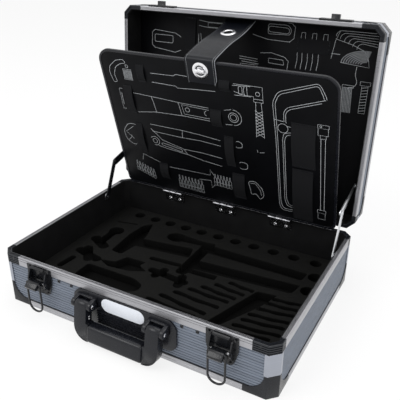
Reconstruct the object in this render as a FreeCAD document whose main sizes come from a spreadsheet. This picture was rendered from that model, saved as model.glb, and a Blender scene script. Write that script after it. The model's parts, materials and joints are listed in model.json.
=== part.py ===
import FreeCAD, Part
import math
import os
import Sketcher

# Hard tool case, opened flat on a table, in millimetres.
# X runs along the case, Y from the handle side to the hinge side, Z up.
# The origin is the centre of the underside of the base.

doc = FreeCAD.newDocument("ToolCase")
sheet = doc.addObject("Spreadsheet::Sheet", "Sizes")

driving = {
    # the closed shells
    "caseWidth": 460, "caseDepth": 324, "baseHeight": 86.6, "lidHeight": 49,
    "cornerCut": 12.5, "rimGap": 0.4, "overrun": 20, "fitGap": 0.1,
    # walls and aluminium sections
    "skin": 1.2, "wall": 4, "floorWall": 5, "lipWidth": 12, "lipWall": 1.5,
    "rimWidth": 6.5, "rimTall": 15, "rimSeat": 9, "edgeTall": 10,
    "postReach": 18, "coreReach": 14, "rimCornerX": 35, "rimCornerY": 24,
    "capReachX": 46, "capReachY": 46, "baseCapTall": 37, "lidCapTall": 22,
    "capShoulder": 17, "capOverlap": 0.1,
    "liningInset": 8, "liningDrop": 1,
    # inserts of the base and the lid
    "foamTop": 28, "foamBacking": 12, "socketPit": 10.2, "wideSocketPit": 12.2, "hammerPit": 13.3,
    "spannerSlot": 7.8, "toolPanelWall": 1.4,
    # main hinge
    "hingeReach": 3.2, "lidAngle": 94.3, "hingeBarrel": 2.8, "hingePin": 1.2,
    "hingeLeafWide": 66, "hingeLeafTall": 20, "hingeX": 130, "leafWall": 1.2,
    "runGap": 0.3, "pinPlay": 0.05,
    # tool board and its hinges
    "boardSideGap": 17, "boardEndGap": 18.4, "boardWall": 3.2, "boardPinGap": 3, "boardFoot": 1.7,
    "boardTopRound": 24, "boardLean": 15.2, "boardHingeInset": 18.9, "boardHingeRise": 2.9,
    "boardHingeX": 107, "boardLeafWide": 40, "boardLeafTall": 22, "boardBarrel": 2.2,
    "boardPin": 0.9, "bindingWide": 4, "bindingProud": 0.5, "boardLeafWall": 1,
    # elastic tapes of the board and the lid
    "loopThick": 2.6, "loopWide": 15, "lidLoopThick": 2.2,
    # strap and its fittings
    "strapWide": 52, "strapWall": 2, "strapX": -10, "strapTail": 237.5, "strapLift": 1.8,
    "strapLidReach": 25, "anchorLow": 15, "anchorHigh": 32.5, "eyeletRadius": 13, "eyeletBore": 6.5,
    "studRadius": 13.5, "studDrop": 15.4, "studFlange": 1, "studKnob": 4,
    "knobHalf": 8, "knobTall": 6.4, "knobHub": 5,
    # lid stays
    "stayWide": 9, "stayWall": 1.8, "stayGap": 0.45, "stayBossRadius": 6, "stayPin": 2,
    "stayPinHead": 3.6, "stayRivet": 4,
    "stayLowBack": 75.2, "stayLowDrop": 9.6, "elbowBack": 47.2, "elbowRise": 52.9,
    "stayHighOut": 24.8, "stayHighRise": 70.4, "elbowPlate": 26, "elbowPlateWide": 13.5,
    # latches
    "latchX": 154, "latchPlateWide": 47, "latchPlateDrop": 4.6, "latchPlateTall": 46,
    "latchPlateWall": 1.1, "latchPlateFoot": 34, "latchPinY": 6, "latchPinDrop": 28.6, "latchPin": 1.5,
    "earReach": 14.4, "earWall": 2, "earRise": 12.8, "leverHalf": 10.5, "leverBarrel": 3.2,
    "leverTipOut": 14, "leverTipDrop": 1.2, "leverTip": 3.4,
    "bailOut": 9.33, "bailRise": 3.4, "bailWire": 1.6, "bailHalf": 12.5, "bailLong": 50.5,
    "bailRound": 12, "bailElbow": 1.9, "bailTail": 4.6, "bailHub": 2.7,
    "strikerWide": 50, "strikerTall": 15, "strikerWall": 3, "strikerLift": 1,
    "hookLift": 1.5, "hookWide": 13, "hookOut": 10, "hookTall": 6,
    # handle
    "handlePlateHalf": 87, "handlePlateTall": 51, "handlePlateWall": 3.2, "handlePlateCut": 9.6,
    "rimClearance": 0.6,
    "labelHalf": 36.5, "labelTall": 22, "labelDrop": 27.9, "labelWall": 0.9,
    "handlePinOut": 14, "handlePinDrop": 29.6, "handlePin": 2, "handleBarrel": 7,
    "armInner": 50, "armOuter": 71, "armThick": 14, "lugInner": 44, "lugOuter": 77,
    "lugRound": 7, "gripTall": 28, "gripDeep": 19, "gripHalf": 46, "handleDrop": 53.5,
    "handleRound": 22, "handleLean": 9, "gripRound": 4.75, "screwRadius": 1.6, "screwRise": 4.8,
    # rivets beside the handle and the latches
    "rivetRadius": 2.2, "rivetFromPlate": 7, "rivetFromLatch": 13.2, "rivetRise": 9.5,
}
for row, (name, number) in enumerate(driving.items(), start=1):
    sheet.set("A%d" % row, name)
    sheet.set("B%d" % row, str(number))
    sheet.setAlias("B%d" % row, name)
doc.recompute()


class Size:
    # a size of the sheet, or a sum of such sizes, kept as an expression and as a number
    def __init__(self, text, number):
        self.text = text
        self.number = number

    def join(self, other, sign, number):
        return Size("(%s %s %s)" % (self.text, sign, other.text), number)

    def __add__(self, other):
        other = asSize(other)
        return self.join(other, "+", self.number + other.number)

    def __radd__(self, other):
        return asSize(other) + self

    def __sub__(self, other):
        other = asSize(other)
        return self.join(other, "-", self.number - other.number)

    def __rsub__(self, other):
        return asSize(other) - self

    def __mul__(self, other):
        other = asSize(other)
        return self.join(other, "*", self.number * other.number)

    def __rmul__(self, other):
        return self * other

    def __truediv__(self, other):
        other = asSize(other)
        return self.join(other, "/", self.number / other.number)

    def __neg__(self):
        return self * -1


def asSize(thing):
    if isinstance(thing, Size):
        return thing
    return Size("(%.9g)" % thing, float(thing))


class Sheet:
    def __getattr__(self, name):
        return Size("Sizes." + name, float(getattr(sheet, name)))


S = Sheet()
halfX = S.caseWidth / 2
halfY = S.caseDepth / 2
zero = asSize(0)
placedNodes = []
identity = FreeCAD.Placement()
xAxis = FreeCAD.Vector(1, 0, 0)
upward = FreeCAD.Vector(0, 0, 1)
outward = FreeCAD.Vector(0, -1, 0)


def vector(x, y, z):
    return FreeCAD.Vector(*[asSize(part).number for part in (x, y, z)])


def box(low, high):
    made = doc.addObject("Part::Box", "Block")
    for side, first, last in zip(("Length", "Width", "Height"), low, high):
        made.setExpression(side, (last - first).text)
    for axis, first in zip("xyz", low):
        made.setExpression("Placement.Base." + axis, asSize(first).text)
    return made


def rod(radius, start, axis, length):
    made = doc.addObject("Part::Cylinder", "Rod")
    made.setExpression("Radius", asSize(radius).text)
    made.setExpression("Height", asSize(length).text)
    made.Placement.Rotation = FreeCAD.Rotation(upward, axis)
    for name, first in zip("xyz", start):
        made.setExpression("Placement.Base." + name, asSize(first).text)
    return made


def sketchOutline(sketch, points):
    # straight edges between points, each point pinned by its two distances from the origin
    count = len(points)
    places = [FreeCAD.Vector(asSize(a).number, asSize(b).number, 0) for a, b in points]
    for index in range(count):
        sketch.addGeometry(Part.LineSegment(places[index], places[(index + 1) % count]), False)
    for index in range(count):
        sketch.addConstraint(Sketcher.Constraint("Coincident", index, 2, (index + 1) % count, 1))
    for index, (a, b) in enumerate(points):
        for kind, value in (("DistanceX", a), ("DistanceY", b)):
            value = asSize(value)
            number = sketch.addConstraint(Sketcher.Constraint(kind, -1, 1, index, 1, value.number))
            sketch.setExpression("Constraints[%d]" % number, value.text)


def prism(plane, points, low, high, rounds=()):
    # a padded outline; rounds lists (radius, indexes of the points whose long edges are rounded)
    body = doc.addObject("PartDesign::Body", "Plate")
    sketch = body.newObject("Sketcher::SketchObject", "Outline")
    support = [item for item in body.Origin.OriginFeatures if item.Role == plane + "_Plane"][0]
    sketch.AttachmentSupport = (support, [""])
    sketch.MapMode = "FlatFace"
    low = asSize(low)
    high = asSize(high)
    offset = -high if plane == "XZ" else low
    sketch.setExpression("AttachmentOffset.Base.z", offset.text)
    sketchOutline(sketch, points)
    pad = body.newObject("PartDesign::Pad", "Pad")
    pad.Profile = sketch
    pad.setExpression("Length", (high - low).text)
    last = pad
    for radius, indexes in rounds:
        doc.recompute()
        last = roundedEdges(body, last, plane, [points[index] for index in indexes], radius)
    body.Tip = last
    return body


def roundedEdges(body, feature, plane, corners, radius):
    names = []
    for number, edge in enumerate(feature.Shape.Edges, start=1):
        ends = [vertex.Point for vertex in edge.Vertexes]
        if len(ends) < 2:
            continue
        flat = [[dict(X=end.x, Y=end.y, Z=end.z)[letter] for letter in plane] for end in ends]
        for corner in corners:
            goal = [asSize(part).number for part in corner]
            near = [abs(place[0] - goal[0]) + abs(place[1] - goal[1]) for place in flat]
            if max(near) < radius.number / 1e4:
                names.append("Edge%d" % number)
    fillet = body.newObject("PartDesign::Fillet", "Round")
    fillet.Base = (feature, names)
    fillet.setExpression("Radius", radius.text)
    body.Tip = fillet
    return fillet


def fused(*pieces):
    made = doc.addObject("Part::MultiFuse", "Joined")
    made.Shapes = list(pieces)
    return made


def cut(base, *tools):
    made = doc.addObject("Part::Cut", "Trimmed")
    made.Base = base
    made.Tool = tools[0] if len(tools) == 1 else compound(*tools)
    return made


def common(base, tool):
    made = doc.addObject("Part::Common", "Overlap")
    made.Base = base
    made.Tool = tool
    return made


def compound(*pieces):
    made = doc.addObject("Part::Compound", "Group")
    made.Links = list(pieces)
    return made


def node(label, pieces, placement=identity):
    made = doc.addObject("Part::Compound", label)
    made.Label = label
    made.Links = list(pieces)
    made.Placement = placement
    placedNodes.append(made)
    return made


def turnAbout(axis, angle, centre):
    return FreeCAD.Placement(FreeCAD.Vector(0, 0, 0), FreeCAD.Rotation(axis, angle), centre)


# Places of the moving groups

hingeY = halfY + S.hingeReach
hingeZ = S.baseHeight
boardHingeY = halfY - S.boardHingeInset
boardHingeZ = S.baseHeight + S.boardHingeRise
stayInner = halfX - S.liningInset
latchPinZ = S.baseHeight - S.latchPinDrop
handlePinZ = S.baseHeight - S.handlePinDrop

lidShut = FreeCAD.Placement(
    vector(0, 0, S.baseHeight + S.rimGap + S.lidHeight), FreeCAD.Rotation(xAxis, 180))
lidOpen = turnAbout(xAxis, -S.lidAngle.number, vector(0, hingeY, hingeZ)).multiply(lidShut)
boardStanding = FreeCAD.Placement(
    vector(0, boardHingeY, boardHingeZ), FreeCAD.Rotation(xAxis, S.boardLean.number))
handleHanging = FreeCAD.Placement(
    vector(0, -halfY - S.handlePinOut, handlePinZ), FreeCAD.Rotation(xAxis, -S.handleLean.number))


# Shells: the base and the lid are made alike, each standing on its large face

def octagon(inset):
    inset = asSize(inset)
    x = halfX - inset
    y = halfY - inset
    corner = S.cornerCut - inset * (2 - math.sqrt(2))
    return [(x - corner, -y), (x, corner - y), (x, y - corner), (x - corner, y),
            (corner - x, y), (-x, y - corner), (-x, corner - y), (corner - x, -y)]


def ring(outer, inner, low, high):
    return cut(prism("XY", octagon(outer), low, high),
               prism("XY", octagon(inner), low - S.overrun, high + S.overrun))


def corners(reachX, reachY, low, high):
    blocks = []
    for sideX in (-1, 1):
        for sideY in (-1, 1):
            far = (sideX * (halfX + S.overrun), sideY * (halfY + S.overrun))
            near = (sideX * (halfX - reachX), sideY * (halfY - reachY))
            first = [far[0] if sideX < 0 else near[0], far[1] if sideY < 0 else near[1], low]
            last = [near[0] if sideX < 0 else far[0], near[1] if sideY < 0 else far[1], high]
            blocks.append(box(first, last))
    return compound(*blocks)


capSweep = [math.radians(angle) for angle in range(0, 91, 15)]


def cornerCaps(low, high, tall):
    # moulded corner boots: a tall shell round the corner that runs out into two low tongues
    boots = fused(ring(0, S.skin, low, tall), ring(0, S.lipWidth, low, S.lipWall))
    boots = common(boots, corners(S.capReachX, S.capReachY, low - S.overrun, high))
    trims = []
    for side in (-1, 1):
        for across, along, reach, plane in (
                (halfY, halfX, S.capReachX, "XZ"), (halfX, halfY, S.capReachY, "YZ")):
            sweep = [(along - reach + (reach - S.capShoulder) * math.sin(angle),
                      S.edgeTall + (tall - S.edgeTall) * (1 - math.cos(angle)))
                     for angle in capSweep]
            outline = [(side * (along - reach - S.overrun), S.edgeTall)]
            outline += [(side * spot, height) for spot, height in sweep]
            outline += [(side * (along - S.capShoulder), tall + S.overrun),
                        (side * (along - reach - S.overrun), tall + S.overrun)]
            for far in (-1, 1):
                inner = far * (across - S.skin - S.capOverlap)
                outer = far * (across + S.overrun)
                span = (outer, inner) if far < 0 else (inner, outer)
                trims.append(prism(plane, outline, *span))
    for trim in trims:
        boots = cut(boots, trim)
    return boots


def shell(prefix, height, capTall, walls, bottomName, placement):
    # walls names the walls on the -Y and the +Y side
    gap = S.fitGap
    panelInset = S.skin + gap
    rimLow = height - S.rimTall
    seat = height - S.rimSeat
    floorTop = S.lipWall + gap + S.floorWall
    wallInner = panelInset + S.wall
    bottom = fused(prism("XY", octagon(S.lipWidth + gap), zero, S.lipWall + gap + gap),
                   prism("XY", octagon(wallInner + gap), S.lipWall + gap, floorTop))
    node(prefix + "_" + bottomName + "_panel", [bottom], placement)
    endX = halfX - S.coreReach - gap
    endY = halfY - S.coreReach - gap
    for name, side in zip(walls, (-1, 1)):
        inner, outer = side * (halfY - wallInner), side * (halfY - panelInset)
        span = (outer, inner) if side < 0 else (inner, outer)
        panel = box((-endX, span[0], S.lipWall + gap), (endX, span[1], seat - gap))
        node("%s_%s_panel" % (prefix, name), [panel], placement)
    for name, side in (("left", -1), ("right", 1)):
        inner, outer = side * (halfX - wallInner), side * (halfX - panelInset)
        span = (outer, inner) if side < 0 else (inner, outer)
        panel = box((span[0], -endY, S.lipWall + gap), (span[1], endY, seat - gap))
        node("%s_%s_panel" % (prefix, name), [panel], placement)
    lining = fused(ring(wallInner + gap, S.liningInset, floorTop + gap, rimLow - gap),
                   ring(S.rimWidth + gap, S.liningInset, rimLow - gap - gap, height - S.liningDrop))
    node(prefix + "_lining", [lining], placement)
    section = cut(ring(0, S.rimWidth, rimLow, height),
                  ring(S.skin, wallInner + gap, rimLow - S.overrun, seat))
    node(prefix + "_rim_profiles",
         [cut(section, corners(S.rimCornerX, S.rimCornerY, zero, height + S.overrun))], placement)
    node(prefix + "_rim_corners",
         [common(section, corners(S.rimCornerX - gap, S.rimCornerY - gap, zero, height + S.overrun))],
         placement)
    posts = fused(
        common(ring(0, S.skin, capTall + gap, rimLow - gap),
               corners(S.postReach, S.postReach, zero, height)),
        common(ring(panelInset - gap, wallInner, S.lipWall + gap, seat - gap),
               corners(S.coreReach, S.coreReach, zero, height)))
    node(prefix + "_corner_profiles", [posts], placement)
    rails = fused(ring(0, S.skin, zero, S.edgeTall), ring(0, S.lipWidth, zero, S.lipWall))
    node(prefix + "_edge_profiles",
         [cut(rails, corners(S.capReachX + gap, S.capReachY + gap, zero - S.overrun, height))],
         placement)
    node(prefix + "_corner_caps", [cornerCaps(zero, height, capTall)], placement)
    return floorTop


# Base

baseFloor = shell("base", S.baseHeight, S.baseCapTall, ("front", "back"), "bottom", identity)


def foamSheet(low, high):
    return prism("XY", octagon(S.liningInset + S.runGap), low, high)


def stripOutline(start, end, wide):
    # the four corners of a straight strip between two points
    run = [end[0] - start[0], end[1] - start[1]]
    length = math.hypot(run[0].number, run[1].number)
    across = (run[1] * (-0.5 / length), run[0] * (0.5 / length))
    return [(point[0] + side * wide * across[0], point[1] + side * wide * across[1])
            for point, side in ((start, 1), (start, -1), (end, -1), (end, 1))]


def slot(start, end, wide):
    # a straight slot with square ends between two points, cut down through the upper foam
    return prism("XY", stripOutline(start, end, wide), S.foamBacking - S.overrun, S.foamTop + S.overrun)


def place(shareX, shareY):
    # a place on the foam as shares of the half width and half depth of the case
    return (halfX * shareX, halfY * shareY)


def pit(shareX, shareY, radius):
    centre = place(shareX, shareY)
    return rod(radius, (centre[0], centre[1], S.foamBacking - S.overrun),
               upward, S.foamTop - S.foamBacking + 2 * S.overrun)


def cutOut(shares):
    return prism("XY", [place(*pair) for pair in shares],
                 S.foamBacking - S.overrun, S.foamTop + S.overrun)


# Recesses of the insert: places are shares of the case's half width and half depth
socketRowShares = [-0.765, -0.609, -0.461, -0.313, -0.165, -0.013, 0.139, 0.296, 0.457, 0.622, 0.791]
socketColumnShares = [(0.848, 0.568), (0.857, 0.309)]
socketRowShare = 0.821
hammerPitShares = (-0.304, 0.6)
outlineShares = [
    [(-0.87, 0.55), (-0.86, 0.05), (-0.72, 0.0), (-0.72, 0.4)],
    [(-0.868, -0.1), (-0.81, -0.26), (-0.64, -0.22), (-0.69, -0.02)],
    [(-0.64, 0.66), (-0.58, 0.72), (-0.5, 0.42), (-0.1, 0.455), (-0.07, 0.27), (-0.5, 0.2),
     (-0.535, -0.02), (-0.635, -0.01)],
    [(-0.008, 0.45), (0.79, 0.45), (0.79, 0.605), (-0.008, 0.605)],
    [(0.05, 0.13), (0.04, 0.25), (0.79, 0.375), (0.77, 0.2)],
    [(-0.625, -0.2), (-0.5, -0.17), (-0.46, -0.05), (-0.31, -0.05), (-0.26, -0.17), (-0.52, -0.26)],
    [(-0.22, -0.11), (0.075, -0.08), (0.075, -0.17), (-0.21, -0.2)],
    [(-0.3, 0.02), (-0.3, 0.15), (-0.065, 0.18), (-0.065, 0.06)],
    [(-0.67, -0.56), (-0.67, -0.33), (-0.15, -0.33), (-0.1, -0.37), (-0.1, -0.52), (-0.15, -0.56)],
    [(-0.865, -0.52), (-0.865, -0.34), (-0.74, -0.34), (-0.74, -0.52)],
]
leftSpannerShares = [(-0.04, -0.5, 0.33, -0.6), (0.02, -0.4, 0.365, -0.53), (0.07, -0.3, 0.41, -0.37),
                     (0.14, -0.19, 0.44, -0.255), (0.2, -0.09, 0.465, -0.17)]
rightSpannerShares = [(0.645, -0.07, 0.88, -0.05), (0.62, -0.19, 0.885, -0.14),
                      (0.6, -0.3, 0.875, -0.25), (0.58, -0.41, 0.865, -0.36), (0.56, -0.52, 0.85, -0.47)]

recesses = [pit(share, socketRowShare, S.socketPit) for share in socketRowShares]
recesses += [pit(x, y, S.wideSocketPit) for x, y in socketColumnShares]
recesses.append(pit(*hammerPitShares, S.hammerPit))
recesses += [cutOut(shares) for shares in outlineShares]
for x1, y1, x2, y2 in leftSpannerShares + rightSpannerShares:
    recesses.append(slot(place(x1, y1), place(x2, y2), S.spannerSlot))
node("foam_tray", [cut(foamSheet(S.foamBacking, S.foamTop), *recesses)])
node("foam_backing", [foamSheet(baseFloor + S.fitGap, S.foamBacking - S.fitGap)])


# Rivets of the front wall

front = -halfY
panelFace = front + S.skin + S.fitGap


def yPrism(outline, nearer, farther, rounds=()):
    return prism("XZ", outline, nearer, farther, rounds)


rivets = []
rivetPlaces = (S.handlePlateHalf + S.rivetFromPlate, S.latchX - S.latchPlateWide / 2 - S.rivetFromLatch)
for side in (-1, 1):
    for rivetX in rivetPlaces:
        foot = (side * rivetX, panelFace, latchPinZ + S.rivetRise)
        rivets.append(rod(S.rivetRadius, foot, outward, S.skin))
node("front_rivets", rivets)


# Latches: a plate with two ears, a pin, a lever and a wire bail on each side

pinY = front - S.latchPinY
plateFace = front - S.fitGap - S.latchPlateWall


def latchPlate(side):
    x = side * S.latchX
    half = S.latchPlateWide / 2
    top = S.baseHeight - S.latchPlateDrop
    low = top - S.latchPlateTall
    waist = (low + top) / 2
    foot = S.latchPlateFoot / 2
    outline = [(x - half, top), (x - half, waist), (x - foot, low), (x + foot, low),
               (x + half, waist), (x + half, top)]
    plate = yPrism(outline, plateFace, front - S.fitGap)
    ears = []
    for hand in (-1, 1):
        inner = x + hand * S.earReach
        outer = x + hand * (S.earReach + S.earWall)
        span = (outer, inner) if hand < 0 else (inner, outer)
        reach = S.leverBarrel
        profile = [(plateFace + S.fitGap, latchPinZ + S.earRise), (pinY - reach, latchPinZ + reach),
                   (pinY - reach, latchPinZ - reach), (plateFace + S.fitGap, latchPinZ - S.earRise)]
        ears.append(prism("YZ", profile, *span))
    solid = fused(plate, *ears)
    bore = rod(S.latchPin, (x - S.latchPlateWide, pinY, latchPinZ), xAxis, S.latchPlateWide * 2)
    return cut(solid, bore)


def latchPin(side):
    reach = S.earReach + S.earWall
    return rod(S.latchPin - S.fitGap / 2, (side * S.latchX - reach, pinY, latchPinZ), xAxis, reach * 2)


def latchLever(side):
    x = side * S.latchX
    half = S.leverHalf
    z = latchPinZ
    barrel = rod(S.leverBarrel, (x - half, pinY, z), xAxis, half * 2)
    tipY = pinY - S.leverTipOut
    tipZ = z - S.leverTipDrop
    tip = rod(S.leverTip, (x - half, tipY, tipZ), xAxis, half * 2)
    bailY = pinY - S.bailOut
    bailZ = z + S.bailRise
    hub = S.bailHub
    arm = prism("YZ", [(pinY, z - S.leverBarrel), (tipY, tipZ - S.leverTip),
                       (tipY, tipZ + S.leverTip), (bailY - hub, bailZ + hub),
                       (bailY + hub, bailZ + hub), (pinY, z + S.leverBarrel)], x - half, x + half)
    solid = fused(barrel, tip, arm)
    bore = rod(S.latchPin, (x - half - S.overrun, pinY, z), xAxis, (half + S.overrun) * 2)
    hole = rod(S.bailWire + S.pinPlay, (x - half - S.overrun, bailY, bailZ), xAxis,
               (half + S.overrun) * 2)
    return cut(cut(solid, bore), hole)


def latchBail(side):
    # a bent wire: two inward ends, two legs and a round bottom, from straight runs and arcs
    x = side * S.latchX.number
    y = (pinY - S.bailOut).number
    z = (latchPinZ + S.bailRise).number
    half = S.bailHalf.number
    low = z - S.bailLong.number
    bend = S.bailRound.number
    elbow = S.bailElbow.number
    tail = S.bailTail.number
    slant = math.sqrt(0.5)

    def spot(across, up):
        return FreeCAD.Vector(x + across, y, up)

    edges = [Part.makeLine(spot(-half + tail, z), spot(-half + elbow, z)),
             Part.Arc(spot(-half + elbow, z), spot(-half + elbow * (1 - slant), z - elbow * (1 - slant)),
                      spot(-half, z - elbow)).toShape(),
             Part.makeLine(spot(-half, z - elbow), spot(-half, low + bend)),
             Part.Arc(spot(-half, low + bend), spot(-half + bend * (1 - slant), low + bend * (1 - slant)),
                      spot(-half + bend, low)).toShape(),
             Part.makeLine(spot(-half + bend, low), spot(half - bend, low)),
             Part.Arc(spot(half - bend, low), spot(half - bend * (1 - slant), low + bend * (1 - slant)),
                      spot(half, low + bend)).toShape(),
             Part.makeLine(spot(half, low + bend), spot(half, z - elbow)),
             Part.Arc(spot(half, z - elbow), spot(half - elbow * (1 - slant), z - elbow * (1 - slant)),
                      spot(half - elbow, z)).toShape(),
             Part.makeLine(spot(half - elbow, z), spot(half - tail, z))]
    circle = Part.makeCircle(S.bailWire.number, spot(-half + tail, z), xAxis)
    wire = doc.addObject("Part::Feature", "BailWire")
    wire.Shape = Part.Wire(edges).makePipeShell([Part.Wire([circle])], True, False)
    return wire


node("latch_plates", [latchPlate(-1), latchPlate(1)])
node("latch_pins", [latchPin(-1), latchPin(1)])
for name, side in (("left", -1), ("right", 1)):
    node("latch_lever_" + name, [latchLever(side)])
    node("latch_bail_" + name, [latchBail(side)])


# Handle: back plate, two brackets, pins, and the swinging loop

handleY = front - S.handlePinOut
plateBack = panelFace - S.fitGap
backFace = plateBack - S.handlePlateWall
endCut = S.handlePlateCut


def handleBackPlate():
    half = S.handlePlateHalf
    top = S.baseHeight - S.rimTall - S.rimClearance
    low = top - S.handlePlateTall
    outline = [(-half, low + endCut), (endCut - half, low), (half - endCut, low), (half, low + endCut),
               (half, top - endCut), (half - endCut, top), (endCut - half, top), (-half, top - endCut)]
    return yPrism(outline, backFace, plateBack)


def labelPlate():
    half = S.labelHalf
    radius = S.labelTall / 2
    face = backFace - S.fitGap
    z = S.baseHeight - S.labelDrop
    middle = box((radius - half, face - S.labelWall, z - radius), (half - radius, face, z + radius))
    ends = [rod(radius, (side * (half - radius), face, z), outward, S.labelWall) for side in (-1, 1)]
    return fused(middle, *ends)


def bracket(side):
    inner = S.lugInner
    outer = S.lugOuter
    gap = S.runGap
    low = handlePinZ - S.lugRound
    top = handlePinZ + S.lugRound
    lugs = []
    for first, last in ((inner, S.armInner - gap), (S.armOuter + gap, outer)):
        ends = (first, last) if side > 0 else (-last, -first)
        lugs.append(box((ends[0], handleY, low), (ends[1], backFace - S.fitGap, top)))
        lugs.append(rod(S.lugRound, (ends[0], handleY, handlePinZ), xAxis, last - first))
    ends = (inner, outer) if side > 0 else (-outer, -inner)
    web = S.handlePlateWall
    lugs.append(box((ends[0], backFace - web, low), (ends[1], backFace - S.fitGap, top)))
    solid = fused(*lugs)
    return cut(solid, rod(S.handlePin, (ends[0] - S.overrun, handleY, handlePinZ), xAxis,
                          outer - inner + 2 * S.overrun))


def handlePin(side):
    start = S.lugInner if side > 0 else -S.lugOuter
    return rod(S.handlePin - S.fitGap / 2, (start, handleY, handlePinZ), xAxis, S.lugOuter - S.lugInner)


def handleArm(side):
    # a hanging arm with its eye and the lower corner, in the loop's own frame
    half = S.armThick / 2
    low = -S.handleDrop
    gripTop = S.gripTall - S.handleDrop
    outer = S.armOuter
    inner = S.armInner
    outline = [(side * inner, zero), (side * outer, zero), (side * outer, low), (side * S.gripHalf, low),
               (side * S.gripHalf, gripTop), (side * inner, gripTop)]
    arm = prism("XZ", outline, -half, half, ((S.handleRound, (2,)),))
    start = inner if side > 0 else -outer
    eye = rod(S.handleBarrel, (start, zero, zero), xAxis, outer - inner)
    bore = rod(S.handlePin + S.pinPlay, (start - S.overrun, zero, zero), xAxis, outer - inner + 2 * S.overrun)
    return cut(fused(arm, eye), bore)


def handleGrip():
    half = S.gripDeep / 2
    low = -S.handleDrop
    top = low + S.gripTall
    reach = S.gripHalf - S.fitGap
    outline = [(-half, low), (half, low), (half, top), (-half, top)]
    return prism("YZ", outline, -reach, reach, ((S.gripRound, (0, 1, 2, 3)),))


def handleScrew(side):
    high = S.gripTall - S.handleDrop + S.screwRise
    return rod(S.screwRadius, (side * (S.armInner - S.fitGap), zero, high), xAxis * -side, S.screwRadius)


node("handle_back_plate", [handleBackPlate()])
node("label_plate", [labelPlate()])
node("handle_brackets", [bracket(-1), bracket(1)])
node("handle_pins", [handlePin(-1), handlePin(1)])
node("handle_arms", [handleArm(-1), handleArm(1)], handleHanging)
node("handle_grip", [handleGrip()], handleHanging)
node("handle_screws", [handleScrew(-1), handleScrew(1)], handleHanging)


# Lid

lidFloor = shell("lid", S.lidHeight, S.lidCapTall, ("back", "front"), "top", lidOpen)
lidPanelLow = lidFloor + S.fitGap
node("lid_tool_panel", [prism("XY", octagon(S.liningInset + S.runGap), lidPanelLow,
                              lidPanelLow + S.toolPanelWall)], lidOpen)

# pieces of the lid below are modelled with the lid shut and swung open with it
lidSwing = turnAbout(xAxis, -S.lidAngle.number, vector(0, hingeY, hingeZ))
lidRim = S.baseHeight + S.rimGap


def striker(side):
    x = side * S.latchX
    low = lidRim + S.strikerLift
    face = front - S.fitGap
    plate = box((x - S.strikerWide / 2, face - S.strikerWall, low),
                (x + S.strikerWide / 2, face, low + S.strikerTall))
    hookLow = low + S.hookLift
    hook = box((x - S.hookWide / 2, face - S.hookOut, hookLow),
               (x + S.hookWide / 2, face - S.strikerWall / 2, hookLow + S.hookTall))
    return fused(plate, hook)


node("latch_strikers", [striker(-1), striker(1)], lidSwing)

# tapes on the lid's tool panel, in the lid's own frame: middle as shares of the case's half width and
# half depth, then width and depth as shares of the usual tape width
lidTapeShares = [(-0.5, 0.728, 1.47, 3.87), (0.491, 0.728, 3.73, 1.47)]
lidTapes = []
for shareX, shareY, wideShare, tallShare in lidTapeShares:
    x, y = place(shareX, shareY)
    wide = S.loopWide * wideShare / 2
    tall = S.loopWide * tallShare / 2
    tapeLow = lidPanelLow + S.toolPanelWall + S.fitGap
    lidTapes.append(box((x - wide, y - tall, tapeLow), (x + wide, y + tall, tapeLow + S.lidLoopThick)))
node("lid_loops", lidTapes, lidOpen)


# Butt hinges: two leaves with interleaved barrels round one pin

def barrels(centreX, wide, radius, y, z, middle):
    share = wide / 3
    if middle:
        return [rod(radius, (centreX - share / 2 + S.runGap / 2, y, z), xAxis, share - S.runGap)]
    length = share - S.runGap / 2
    return [rod(radius, (centreX - wide / 2, y, z), xAxis, length),
            rod(radius, (centreX + share / 2 + S.runGap / 2, y, z), xAxis, length)]


def hingeLeaf(centreX, wide, radius, y, z, faces, reach, up, pin):
    # a leaf between the two faces, on the upper or the lower side of its pin
    clear = radius + S.runGap
    near = z + up * clear
    far = z + up * reach
    span = (near, far) if up > 0 else (far, near)
    pieces = [box((centreX - wide / 2, faces[0], span[0]), (centreX + wide / 2, faces[1], span[1]))]
    for knuckle in barrels(centreX, wide, radius, y, z, up > 0):
        pieces.append(knuckle)
    neck = (z, near + up * S.fitGap) if up > 0 else (near + up * S.fitGap, z)
    share = wide / 3
    ends = [(centreX - share / 2 + S.runGap / 2, centreX + share / 2 - S.runGap / 2)]
    if up < 0:
        ends = [(centreX - wide / 2, centreX - share / 2 - S.runGap / 2),
                (centreX + share / 2 + S.runGap / 2, centreX + wide / 2)]
    for first, last in ends:
        pieces.append(box((first, faces[0], neck[0]), (last, faces[1], neck[1])))
    bore = rod(pin + S.pinPlay, (centreX - wide, y, z), xAxis, wide * 2)
    return cut(fused(*pieces), bore)


hingeFaces = (halfY + S.fitGap, halfY + S.fitGap + S.leafWall)
boardFront = S.boardPinGap
boardBackY = boardFront + S.boardWall
caseHinges = (-S.hingeX, S.hingeX)
boardHinges = (-S.boardHingeX, zero, S.boardHingeX)


def crankedLeaf(x, y, z, far, up):
    # a leaf that runs back from its pin as a shelf and then along the face that it is screwed to
    wide = S.boardLeafWide
    barrel = S.boardBarrel
    leaf = hingeLeaf(x, wide, barrel, y, z, (y, far), S.boardLeafTall, up, S.boardPin)
    end = z + up * (S.boardLeafTall + S.overrun)
    for nearY, farY, start in ((y - S.overrun, y + barrel, z + up * (barrel + S.runGap)),
                               (y + barrel, far - S.boardLeafWall, z + up * S.boardLeafWall)):
        span = (start, end) if up > 0 else (end, start)
        leaf = cut(leaf, box((x - wide, nearY, span[0]), (x + wide, farY, span[1])))
    return leaf


def caseLeaf(x, up):
    return hingeLeaf(x, S.hingeLeafWide, S.hingeBarrel, hingeY, hingeZ, hingeFaces, S.hingeLeafTall, up,
                     S.hingePin)


def hingePins(places, wide, pin, y, z):
    return [rod(pin, (x - wide / 2, y, z), xAxis, wide) for x in places]


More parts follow.
